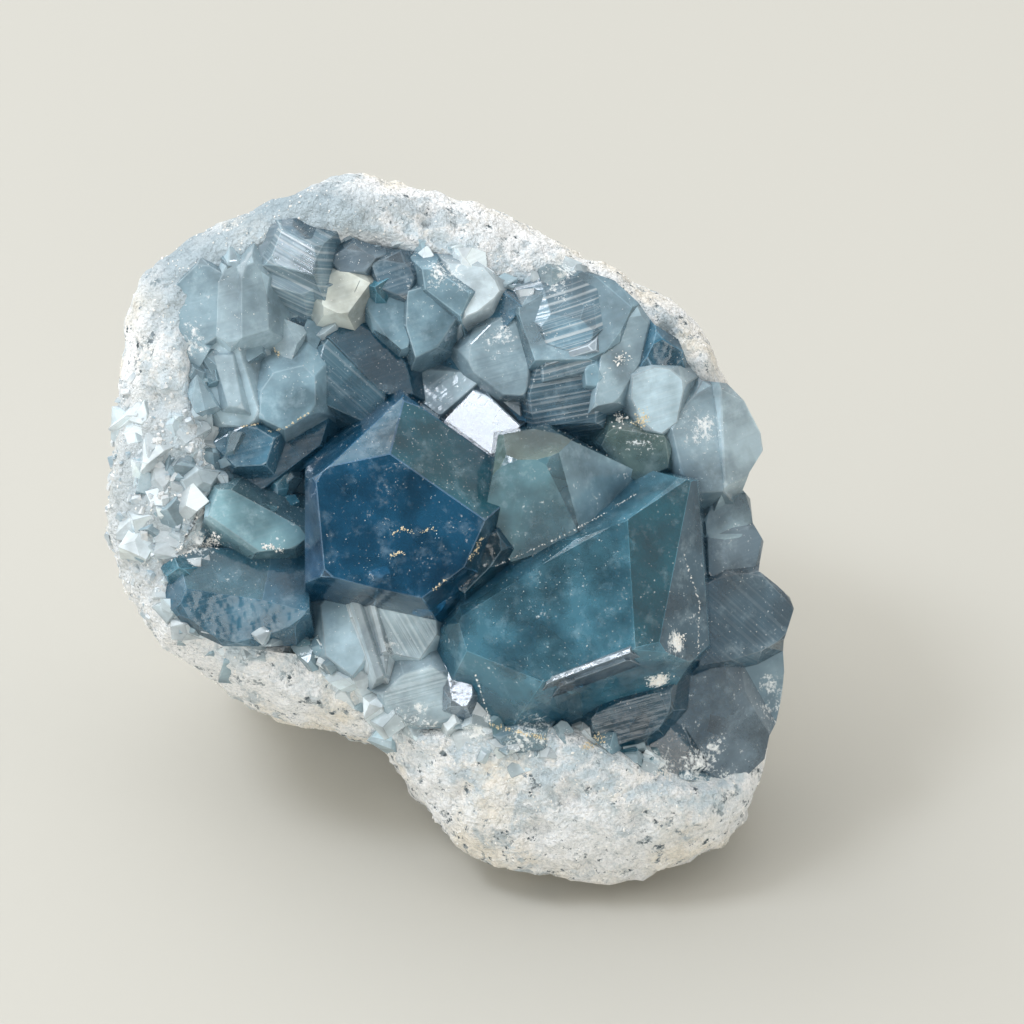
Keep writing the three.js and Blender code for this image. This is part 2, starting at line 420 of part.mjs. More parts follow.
// The rind's skin, grown outwards everywhere by some distance.
function rindGeometry(grown) {
  const columns = STATIONS.length * COLUMNS_PER_STATION;
  const points = [HOLLOW_MIDDLE];
  for (const row of ROWS)
    for (let c = 0; c < columns; c++) points.push(skinPoint(c / COLUMNS_PER_STATION, row));
  points.push(BACK_MIDDLE);
  const at = (r, c) => 1 + r * columns + (c % columns);
  const last = points.length - 1;
  const faces = [];
  for (let c = 0; c < columns; c++) {
    faces.push(0, at(0, c), at(0, c + 1));
    for (let r = 0; r + 1 < ROWS.length; r++)
      faces.push(at(r, c), at(r + 1, c), at(r + 1, c + 1), at(r, c), at(r + 1, c + 1), at(r, c + 1));
    faces.push(last, at(ROWS.length - 1, c + 1), at(ROWS.length - 1, c));
  }
  const skin = new THREE.BufferGeometry()
    .setAttribute("position", new THREE.Float32BufferAttribute(points.flat(), 3))
    .setIndex(faces);
  skin.computeVertexNormals();
  const { position, normal } = skin.attributes;
  points.forEach(([u, v, w], i) => {
    const lump = grown + lumpiness(ROWS[Math.floor((i - 1) / columns)]) * lumps(u, v, w);
    position.setXYZ(i, ...worn([
      u + normal.getX(i) * lump, v + normal.getY(i) * lump, w + normal.getZ(i) * lump]));
  });
  return skin;
}

// Everything below the surface that the stone lies on.
function belowFloor() {
  const [width, depth] = [200, 40];
  return new THREE.BoxGeometry(width, width, depth)
    .translate(0, 0, -FLOOR_DROP - depth / 2)
    .applyMatrix4(new THREE.Matrix4().makeRotationX(-LEAN));
}

// ---------------------------------------------------------------- the crust
// A flat side is kept as its outward direction and how far out it lies along it.
function flat(point, direction) {
  const normal = new THREE.Vector3(...direction).normalize();
  return { normal, reach: normal.dot(new THREE.Vector3(...point)) };
}

function sidesOf({ face, corners, cuts = [] }) {
  const [u, v, w, rightDeg, upDeg] = face;
  const [slopeU, slopeV] = [rightDeg, upDeg].map((deg) => -Math.tan(THREE.MathUtils.degToRad(deg)));
  const onFace = ([cu, cv]) => w + slopeU * (cu - u) + slopeV * (cv - v);
  const turning = corners.reduce((sum, [cu, cv], i) => {
    const [nu, nv] = corners[(i + 1) % corners.length];
    return sum + cu * nv - nu * cv;
  }, 0);
  const sides = corners.map(([cu, cv, fallDeg], i) => {
    const [nu, nv] = corners[(i + 1) % corners.length];
    const length = Math.hypot(nu - cu, nv - cv);
    const along = [(nu - cu) / length, (nv - cv) / length];
    const outward = turning > 0 ? [along[1], -along[0]] : [-along[1], along[0]];
    const rise = (onFace([nu, nv]) - onFace([cu, cv])) / length;
    const fall = Math.tan(THREE.MathUtils.degToRad(fallDeg));
    return flat([cu, cv, onFace([cu, cv])],
      [fall * outward[0] - rise * along[0], fall * outward[1] - rise * along[1], 1]);
  });
  const cutSides = cuts.map(([cu, cv, cw, roundDeg, upwardDeg]) => {
    const [round, upward] = [roundDeg, upwardDeg].map(THREE.MathUtils.degToRad);
    return flat([cu, cv, cw], [Math.cos(round) * Math.cos(upward),
      Math.sin(round) * Math.cos(upward), Math.sin(upward)]);
  });
  return [flat([u, v, w], [-slopeU, -slopeV, 1]), ...sides, ...cutSides,
    flat([u, v, CRYSTAL_ROOT], [0, 0, -1])];
}

// The solid inside all of its flat sides: its corners are where three sides meet.
function crystalGeometry(crystal) {
  const sides = sidesOf(crystal);
  const points = [];
  sides.forEach((a, i) => sides.slice(i + 1).forEach((b, j) => sides.slice(i + j + 2).forEach((c) => {
    const bc = b.normal.clone().cross(c.normal);
    const solidAngle = a.normal.dot(bc);
    if (Math.abs(solidAngle) < 1e-4) return;
    const point = bc.multiplyScalar(a.reach)
      .add(c.normal.clone().cross(a.normal).multiplyScalar(b.reach))
      .add(a.normal.clone().cross(b.normal).multiplyScalar(c.reach))
      .divideScalar(solidAngle);
    if (sides.every((side) => side.normal.dot(point) < side.reach + 1e-6)) points.push(point);
  })));
  return new ConvexGeometry(points);
}

// A point of the bed that the crystals stand in, at some share of the way out to the rim's crest.
function bedPoint(station, share) {
  const [, , , cu, cv, cw] = smoothRow(STATIONS, station);
  const [bu, bv, bw] = BED_MIDDLE;
  return [bu + (cu - bu) * share, bv + (cv - bv) * share,
    bw + (cw - BED_BELOW_CREST - bw) * share ** BED_STEEPNESS];
}

function bedGeometry() {
  const columns = STATIONS.length * BED_COLUMNS_PER_STATION;
  const points = [BED_MIDDLE];
  for (const share of BED_ROWS)
    for (let c = 0; c < columns; c++) {
      const [u, v, w] = bedPoint(c / BED_COLUMNS_PER_STATION, share);
      points.push([u, v, w + BED_ROUGHNESS * noise(u / BED_BUMP_SIZE, v / BED_BUMP_SIZE, 0)]);
    }
  for (let c = 0; c < columns; c++) {
    const [u, v] = bedPoint(c / BED_COLUMNS_PER_STATION, 1);
    points.push([u, v, BED_FLOOR]);
  }
  points.push([BED_MIDDLE[0], BED_MIDDLE[1], BED_FLOOR]);
  const rows = BED_ROWS.length + 1;
  const at = (r, c) => 1 + r * columns + (c % columns);
  const last = points.length - 1;
  const faces = [];
  for (let c = 0; c < columns; c++) {
    faces.push(0, at(0, c), at(0, c + 1));
    for (let r = 0; r + 1 < rows; r++)
      faces.push(at(r, c), at(r + 1, c), at(r + 1, c + 1), at(r, c), at(r + 1, c + 1), at(r, c + 1));
    faces.push(last, at(rows - 1, c + 1), at(rows - 1, c));
  }
  return new THREE.BufferGeometry()
    .setAttribute("position", new THREE.Float32BufferAttribute(points.flat(), 3))
    .setIndex(faces);
}

// A small crystal of the druse that fills the bed round the large ones: a leaning block.
function druseCrystal(random) {
  const station = random() * STATIONS.length;
  const [u, v, w] = bedPoint(station, THREE.MathUtils.lerp(...DRUSE_BAND, random()));
  const size = THREE.MathUtils.lerp(...DRUSE_SIZES, random() ** 2);
  const lean = () => DRUSE_LEAN * (2 * random() - 1);
  const turn = new THREE.Euler(lean(), lean(), Math.PI * random());
  return new THREE.BoxGeometry(size, size * (0.5 + 0.4 * random()), size * 1.8)
    .applyMatrix4(new THREE.Matrix4().makeRotationFromEuler(turn))
    .translate(u, v, w);
}

function insideOfEdge() {
  const outline = new THREE.Shape(CRUST_EDGE.map((point) => new THREE.Vector2(...point)));
  return new THREE.ExtrudeGeometry(outline, { depth: 80, bevelEnabled: false })
    .translate(0, 0, -50);
}

const pits = PITS.map(([u, v, w, radius], i) => new THREE.IcosahedronGeometry(radius, 0)
  .rotateZ(i).scale(1.3, 0.8, 1).rotateZ(2 * i).translate(u, v, w));
const rind = mainLump([belowFloor(), ...pits].map(solidOf)
  .reduce((stone, cut) => stone.subtract(cut), solidOf(rindGeometry(0))));
const random = randomSource(5);
const druse = Array.from({ length: DRUSE_COUNT }, () => druseCrystal(random));
const crystals = joinAll([bedGeometry(), ...druse, ...CRYSTALS.map(crystalGeometry)].map(solidOf));
const crust = mainLump(
  crystals.intersect(solidOf(insideOfEdge())).subtract(solidOf(rindGeometry(SEAM))));

// ---------------------------------------------------------------- the geode
const stone = new THREE.Mesh(geometryOf(rind), new THREE.MeshStandardMaterial({
  color: 0xdcdcd6, roughness: 0.9, metalness: 0 }));
stone.name = "rind";
const celestite = new THREE.Mesh(geometryOf(crust), new THREE.MeshStandardMaterial({
  color: 0x5f8aa6, roughness: 0.15, metalness: 0 }));
celestite.name = "crystal_crust";

const leaning = new THREE.Group();
leaning.rotation.x = LEAN;
leaning.position.set(-FOOTPRINT_MIDDLE[0], -FOOTPRINT_MIDDLE[1], FLOOR_DROP);
leaning.add(stone, celestite);

const geode = new THREE.Group();
geode.add(leaning);
export default geode;
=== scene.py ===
import math
import random

import bmesh
import bpy
import numpy as np
from mathutils import Matrix, Vector
from mathutils.bvhtree import BVHTree


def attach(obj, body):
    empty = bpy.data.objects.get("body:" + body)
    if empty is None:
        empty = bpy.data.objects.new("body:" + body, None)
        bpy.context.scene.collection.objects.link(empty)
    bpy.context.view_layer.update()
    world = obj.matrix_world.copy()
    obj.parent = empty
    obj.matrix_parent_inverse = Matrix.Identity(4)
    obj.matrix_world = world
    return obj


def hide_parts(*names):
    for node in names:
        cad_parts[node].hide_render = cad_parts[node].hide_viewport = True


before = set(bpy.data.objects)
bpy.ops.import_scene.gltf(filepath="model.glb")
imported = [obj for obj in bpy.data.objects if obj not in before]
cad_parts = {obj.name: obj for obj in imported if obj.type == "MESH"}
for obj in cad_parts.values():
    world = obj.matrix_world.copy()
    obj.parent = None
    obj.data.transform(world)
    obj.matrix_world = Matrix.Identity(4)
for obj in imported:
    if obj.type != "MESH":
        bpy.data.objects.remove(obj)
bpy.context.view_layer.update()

# A celestite geode: half of a rounded nodule with a chalky white rind, its open face filled with
# blue crystals. Sizes are in millimetres and laid out in the frame of the open face, as in the part's
# source: u runs to the right, v up the face and w straight out of it. The whole stone then leans back.
MM = 0.001
LEAN = math.radians(54)
FLOOR_DROP = 44.5
FOOTPRINT_MIDDLE = (-0.69, 15.6)
CLEAR_OF_FACE = 40  # how far out of the open face, clear of the stone, rays are cast back at it
UP = np.array([0, math.sin(LEAN), math.cos(LEAN)])  # straight up, in the frame of the open face


def placed(points):
    """Turns [u, v, w] rows in millimetres into places in the frame's own metres."""
    u, v, w = np.asarray(points, float).reshape(-1, 3).T
    x = u - FOOTPRINT_MIDDLE[0]
    y = v * math.cos(LEAN) - w * math.sin(LEAN) - FOOTPRINT_MIDDLE[1]
    z = v * math.sin(LEAN) + w * math.cos(LEAN) + FLOOR_DROP
    return np.stack([x, y, z], axis=1) * MM


def linear(colour):
    """An sRGB hex colour as linear red, green, blue and alpha."""
    parts = [int(colour[i:i + 2], 16) / 255 for i in (1, 3, 5)]
    return tuple(c / 12.92 if c <= 0.04045 else ((c + 0.055) / 1.055) ** 2.4 for c in parts) + (1,)


def put(tree, kind, settings=None, links=None):
    """Adds one node with its settings. A socket takes a value, or the output that it is linked from."""
    node = tree.nodes.new(kind)
    for name, value in (settings or {}).items():
        setattr(node, name, value)
    for name, value in (links or {}).items():
        if isinstance(value, bpy.types.NodeSocket):
            tree.links.new(value, node.inputs[name])
        else:
            node.inputs[name].default_value = value
    return node


def new_object(name, data):
    piece = bpy.data.objects.new(name, data)
    bpy.context.scene.collection.objects.link(piece)
    return piece


def mesh_of(name, points, faces, smooth=False):
    mesh = bpy.data.meshes.new(name)
    mesh.from_pydata([tuple(p) for p in points], [], faces)
    mesh.polygons.foreach_set("use_smooth", [smooth] * len(mesh.polygons))
    return mesh


def points_of(mesh):
    points = np.empty(len(mesh.vertices) * 3)
    mesh.vertices.foreach_get("co", points)
    return points.reshape(-1, 3)


def put_in_place(mesh):
    """Moves a mesh from the frame of the open face to where it stands."""
    mesh.vertices.foreach_set("co", placed(points_of(mesh)).ravel())
    mesh.update()


def shape_tree(surface):
    """A mesh as a tree that rays can be cast at."""
    return BVHTree.FromPolygons(points_of(surface).tolist(),
                                [tuple(polygon.vertices) for polygon in surface.polygons])


def unit(direction):
    return direction / np.linalg.norm(direction)

# ------------------------------------------------------------------ the rind
# The stone's outline as seen straight onto the open face, anticlockwise from the right, each with
# the crest of the rim beside it: (outline u, v, w, crest u, v, w).
STATIONS = [
    (36, 0, -14, 32, 0, -8), (35, 9, -15, 31, 8, -9), (34.2, 18, -15, 30, 16, -9),
    (31.5, 24.5, -15, 27.5, 21.5, -9), (25, 30.2, -15, 22.5, 27, -9), (18, 34.5, -15, 15.5, 31, -9),
    (10, 38.6, -15, 8, 31.5, -9), (1, 42.2, -14, 1, 34, -8), (-8, 44.2, -14, -7, 37, -7),
    (-17, 43.4, -13, -15, 38.5, -6), (-26, 40, -12, -23, 37, -5), (-34.5, 35.8, -12, -30, 33, -5),
    (-40, 30, -11, -34.5, 27.5, -4), (-42, 20, -10, -34, 19, -2), (-42.6, 11, -9, -32, 10, -1),
    (-43.2, 1, -9, -32, 1.5, 0), (-41.6, -6.5, -9, -36, -6, -1), (-37.5, -13.5, -10, -33, -11, -1.5),
    (-30, -19.3, -11, -27, -14.5, -2), (-22, -23.5, -12, -19, -15.5, -2),
    (-15, -24.8, -12, -14, -18.5, -3), (-9.5, -27.3, -13, -8.5, -22, -4),
    (-5, -33, -12, -3.5, -25.5, -1.5), (1, -40.5, -11, 3, -24.6, 0.5), (10, -43.6, -11, 11, -25, 1.2),
    (20, -44.6, -11, 19, -28, 0.8), (30, -41.2, -12, 27.5, -32, -1), (36.5, -35.6, -13, 33.5, -32, -5),
    (38.8, -28, -14, 35, -27, -8), (38, -19, -14, 33.5, -18, -9), (37, -9, -14, 32.5, -9, -8)]
HOLLOW_MIDDLE = np.array([0, 3, -19])  # the deepest point of the hollow
BACK_MIDDLE = np.array([-12, -18, -50])  # the point of the rind farthest behind the face
BACK_FULLNESS = 0.78  # below 1 the back is boxier than an ellipsoid
HOLLOW_STEEPNESS = 3  # above 2 the hollow has a flat floor and a steep wall
BELLY_SOFTNESS = 5  # how gently the worn belly turns up from the flat that it lies on
LUMPS = [(15, 2.6), (7, 1.5), (3.7, 1)]  # how far apart the rind's swellings lie, and how high
GRIT = [(2.6, 0.45), (1.3, 0.3), (0.7, 0.16)]  # the same for the grit of its skin
FACE_LUMPINESS = 0.3  # how much of the swellings shows in the hollow and on the rim
BACK_LUMPINESS = 0.9  # how much more of them shows behind
BELLY_REACH = 30  # how high the wear of the belly reaches
RIND_COLUMNS = len(STATIONS) * 15
BROKEN_RIM_MIDDLE = (-36, 5)  # where the rim is broken into bare calcite and celestite
BROKEN_RIM_REACH = (8, 11)
HAZY_RIM = [((-31, 33), (9, 7)), ((-20, 40), (10, 4))]  # where it is glassy and blue-grey
GRIT_FREE_HEIGHT = 4  # above the floor, where the worn belly carries no loose grit
GLASSY_FROM = 0.85  # how far out in the hollow the rind turns glassy,
GLASSY_THERE = 0.8  # how glassy it is there,
GLASSY_FADE = 7  # and how quickly that fades over the rim
LEAST_CRUMBS = 0.15  # how much of the front's loose crumbs lies on the back
# The rows of points that its skin is made of: how far out in the hollow, then round the rim and the
# back, in degrees from straight out of the face.
HOLLOW_SHARES = np.linspace(0.25, 1, 22)[:-1]
RIM_ANGLES = np.radians(np.linspace(0, 90, 42))
BACK_ANGLES = np.radians(np.linspace(92, 178, 58))
PIT_DEPTH = 0.9  # of its radius
PITS = [  # the middle (u, v, w) of each, and its radius
    (14.6, -33, 1, 2), (0.4, -33, -0.6, 1.7), (10.8, -37.6, -1.8, 1.8), (16.6, -42, -5.6, 1.6),
    (7.4, -33, 0.6, 1.3), (23, -36, -1, 1.5), (-34, 8, -0.4, 1.6), (-36.6, -1.2, -1.6, 1.8),
    (-38, 16, -3.6, 1.7), (26.6, 24.6, -8.6, 1.8), (13, 36, -9, 1.7), (-3, 40, -7.6, 1.8)]


def grid_value(i, j, k):
    """A number from 0 to 1 for each point of a whole-number grid."""
    whole = np.uint64(0xffffffff)
    h = (i * 374761393 + j * 668265263 + k * 1440662683).astype(np.int64).astype(np.uint64) & whole
    h = ((h ^ (h >> np.uint64(13))) * np.uint64(1274126177)) & whole
    return ((h ^ (h >> np.uint64(16))) & whole) / 4294967296


def noise(points):
    """Smooth noise from -1 to 1, with one swelling or dip to each unit of length."""
    cell = np.floor(points).astype(np.int64)
    part = points - cell
    ease = part * part * (3 - 2 * part)
    total = 0
    for di in (0, 1):
        for dj in (0, 1):
            for dk in (0, 1):
                weight = 1
                for axis, step in enumerate((di, dj, dk)):
                    weight = weight * (ease[:, axis] if step else 1 - ease[:, axis])
                total = total + weight * grid_value(cell[:, 0] + di, cell[:, 1] + dj, cell[:, 2] + dk)
    return 2 * total - 1


def smooth_rows(rows, places):
    """A closed smooth curve through rows of numbers, at row numbers that may be fractions."""
    rows = np.asarray(rows, float)
    i = np.floor(places).astype(int)
    t = (places - i)[:, None]
    a, b, c, d = [rows[(i + k) % len(rows)] for k in (-1, 0, 1, 2)]
    return 0.5 * (2 * b + (c - a) * t + (2 * a - 5 * b + 4 * c - d) * t ** 2
                  + (3 * b - a - 3 * c + d) * t ** 3)


def rind_rows():
    """The rind's smooth skin as rows of points, from the hollow's middle over the rim to the back."""
    around = smooth_rows(STATIONS, np.arange(RIND_COLUMNS) * len(STATIONS) / RIND_COLUMNS)
    outline, crest = around[:, :3], around[:, 3:]
    rows = []
    for share in HOLLOW_SHARES:
        row = HOLLOW_MIDDLE + (crest - HOLLOW_MIDDLE) * share
        row[:, 2] = HOLLOW_MIDDLE[2] + (crest[:, 2] - HOLLOW_MIDDLE[2]) * share ** HOLLOW_STEEPNESS
        rows.append((row, FACE_LUMPINESS))
    for angle in RIM_ANGLES:
        row = crest + (outline - crest) * math.sin(angle)
        row[:, 2] = outline[:, 2] + (crest[:, 2] - outline[:, 2]) * math.cos(angle)
        rows.append((row, FACE_LUMPINESS))
    for angle in BACK_ANGLES:
        out, back = math.sin(angle) ** BACK_FULLNESS, (-math.cos(angle)) ** BACK_FULLNESS
        row = BACK_MIDDLE + (outline - BACK_MIDDLE) * out
        row[:, 2] = outline[:, 2] + (BACK_MIDDLE[2] - outline[:, 2]) * back
        rows.append((row, FACE_LUMPINESS - BACK_LUMPINESS * math.cos(angle)))
    return rows


def worn(points):
    """Wears the belly towards the flat that the stone lies on, straight up or down."""
    height = points @ UP + FLOOR_DROP
    eased = 0.5 * (height + np.hypot(height, BELLY_SOFTNESS)) - 0.3 * BELLY_SOFTNESS
    fade = np.clip(1 - height / BELLY_REACH, 0, 1)
    return points + ((eased - height) * fade)[:, None] * UP


def vertex_normals(points, faces):
    faces = np.asarray(faces)
    across = np.cross(points[faces[:, 2]] - points[faces[:, 0]], points[faces[:, 3]] - points[faces[:, 1]])
    normals = np.zeros_like(points)
    for corner in range(4):
        np.add.at(normals, faces[:, corner], across)
    return normals / np.maximum(np.linalg.norm(normals, axis=1), 1e-12)[:, None]


def rind_skin():
    """Points and faces of the rind with its swellings, grit and pits, flat where it lies."""
    rows = rind_rows()
    lumpiness = np.repeat([lump for _, lump in rows], RIND_COLUMNS)
    points = np.concatenate([row for row, _ in rows])
    columns = np.arange(RIND_COLUMNS)
    following = (columns + 1) % RIND_COLUMNS
    faces = np.concatenate([np.stack([
        r * RIND_COLUMNS + columns, (r + 1) * RIND_COLUMNS + columns,
        (r + 1) * RIND_COLUMNS + following, r * RIND_COLUMNS + following], axis=1)
        for r in range(len(rows) - 1)])
    normals = vertex_normals(points, faces)
    lump = sum(height * noise(points / size + [7 * i, 0, 0]) for i, (size, height) in enumerate(LUMPS))
    grit = np.zeros(len(points))
    for size, height in GRIT:
        grit += height * (noise(points / size + 90) + 0.35 * np.abs(noise(points / size + 50)) - 0.1)
    for u, v, w, radius in PITS:
        away = np.linalg.norm((points - (u, v, w)) / radius, axis=1) + 0.35 * noise(points / 0.9)
        grit -= PIT_DEPTH * radius * np.clip(1.2 - away, 0, 1)
    points = worn(points + normals * (lump * lumpiness + grit)[:, None])
    below = np.minimum(points @ UP + FLOOR_DROP, 0)
    points = points - below[:, None] * UP
    first, last = range(RIND_COLUMNS), range(len(points) - RIND_COLUMNS, len(points))
    caps = [tuple(reversed(first)), tuple(last)]
    return points, [tuple(face) for face in faces.tolist()] + caps


def finish_weights(points):
    """How strongly each part of the rind's finish shows at each of its points, from 0 to 1."""
    inside = [1.0] * len(HOLLOW_SHARES) + [0.0] * (len(RIM_ANGLES) + len(BACK_ANGLES))
    inner_rim = [0.0 if share < GLASSY_FROM else GLASSY_THERE for share in HOLLOW_SHARES]
    inner_rim += [max(0.0, math.cos(angle)) ** GLASSY_FADE for angle in RIM_ANGLES]
    inner_rim += [0.0] * len(BACK_ANGLES)
    front = [0.0] * len(HOLLOW_SHARES) + [1.0] * len(RIM_ANGLES)
    front += [max(LEAST_CRUMBS, math.sin(angle)) for angle in BACK_ANGLES]
    inside, inner_rim, front = (np.repeat(row, RIND_COLUMNS) for row in (inside, inner_rim, front))
    front *= points @ UP + FLOOR_DROP > GRIT_FREE_HEIGHT
    broken = np.linalg.norm((points[:, :2] - BROKEN_RIM_MIDDLE) / BROKEN_RIM_REACH, axis=1)
    broken = np.clip(1.6 - broken, 0, 1) * front ** 3
    hazy = np.zeros(len(points))
    for middle, reach in HAZY_RIM:
        away = np.linalg.norm((points[:, :2] - middle) / reach, axis=1) + 0.3 * noise(points / 3)
        hazy = np.maximum(hazy, np.clip(1.5 - away, 0, 1) * front ** 4)
    return {"inside": inside, "inner_rim": inner_rim, "front": front, "broken_rim": broken,
            "hazy": hazy}

# ------------------------------------------------------------------ the crystals
# The body colour of crystals of each kind, how milky the kind is, and how strongly growth lines show
# on it, both from 0 to 1. The shadow tint is partly painted shade, for crystals and facets drawn as dark
# as they look in slits, slots and shade.
TINTS = {
    "navy": ("#2b7199", 0.32, 0), "teal": ("#6aabc2", 0.4, 0), "bottle": ("#1f7d90", 0.36, 0),
    "shadow": ("#2c6076", 0.34, 0.06), "dusk": ("#568fab", 0.42, 0.06),
    "slate": ("#9cc0d0", 0.5, 0.08), "haze": ("#b4d0dc", 0.66, 0.1), "sky": ("#a3c8d8", 0.58, 0.06),
    "aqua": ("#96c0cb", 0.58, 0.06), "pale": ("#c9e2ec", 0.7, 0.2),
    "frost": ("#d9eaf1", 0.74, 0.15), "white": ("#e6f2f7", 0.78, 0.3), "cream": ("#d8ddd3", 0.8, 0.1),
    "silver": ("#cfe2ee", 0.25, 0), "olive": ("#7d9690", 0.45, 0), "sage": ("#70a0ae", 0.45, 0),
    "smoke": ("#8aa0ae", 0.5, 0.06), "pale smoke": ("#5f7a8a", 0.55, 0.15),
    "dusty": ("#7d97a4", 0.55, 0.08), "violet": ("#5586b2", 0.38, 0), "stripes": ("#7a9eb0", 0.55, 1),
    "dark stripes": ("#7096a6", 0.5, 0.4), "silver stripes": ("#8fb0c0", 0.45, 1)}
GROWTH_LINES = {  # which way the growth lines of a crystal rise, in degrees round from +u
    "left stair": 125, "right stair": 72, "striped top": 65, "striped foot": 65, "slate slab": 50,
    "left vein": 20, "right vein": 20, "white petal": 30, "smoky spur": 45, "lower crown": 100,
    "veined blade": 20}
GROWTH_LINES_ELSEWHERE = 106
GROWTH_LINES_OUTWARD = 0.2  # how far they also rise out of the face
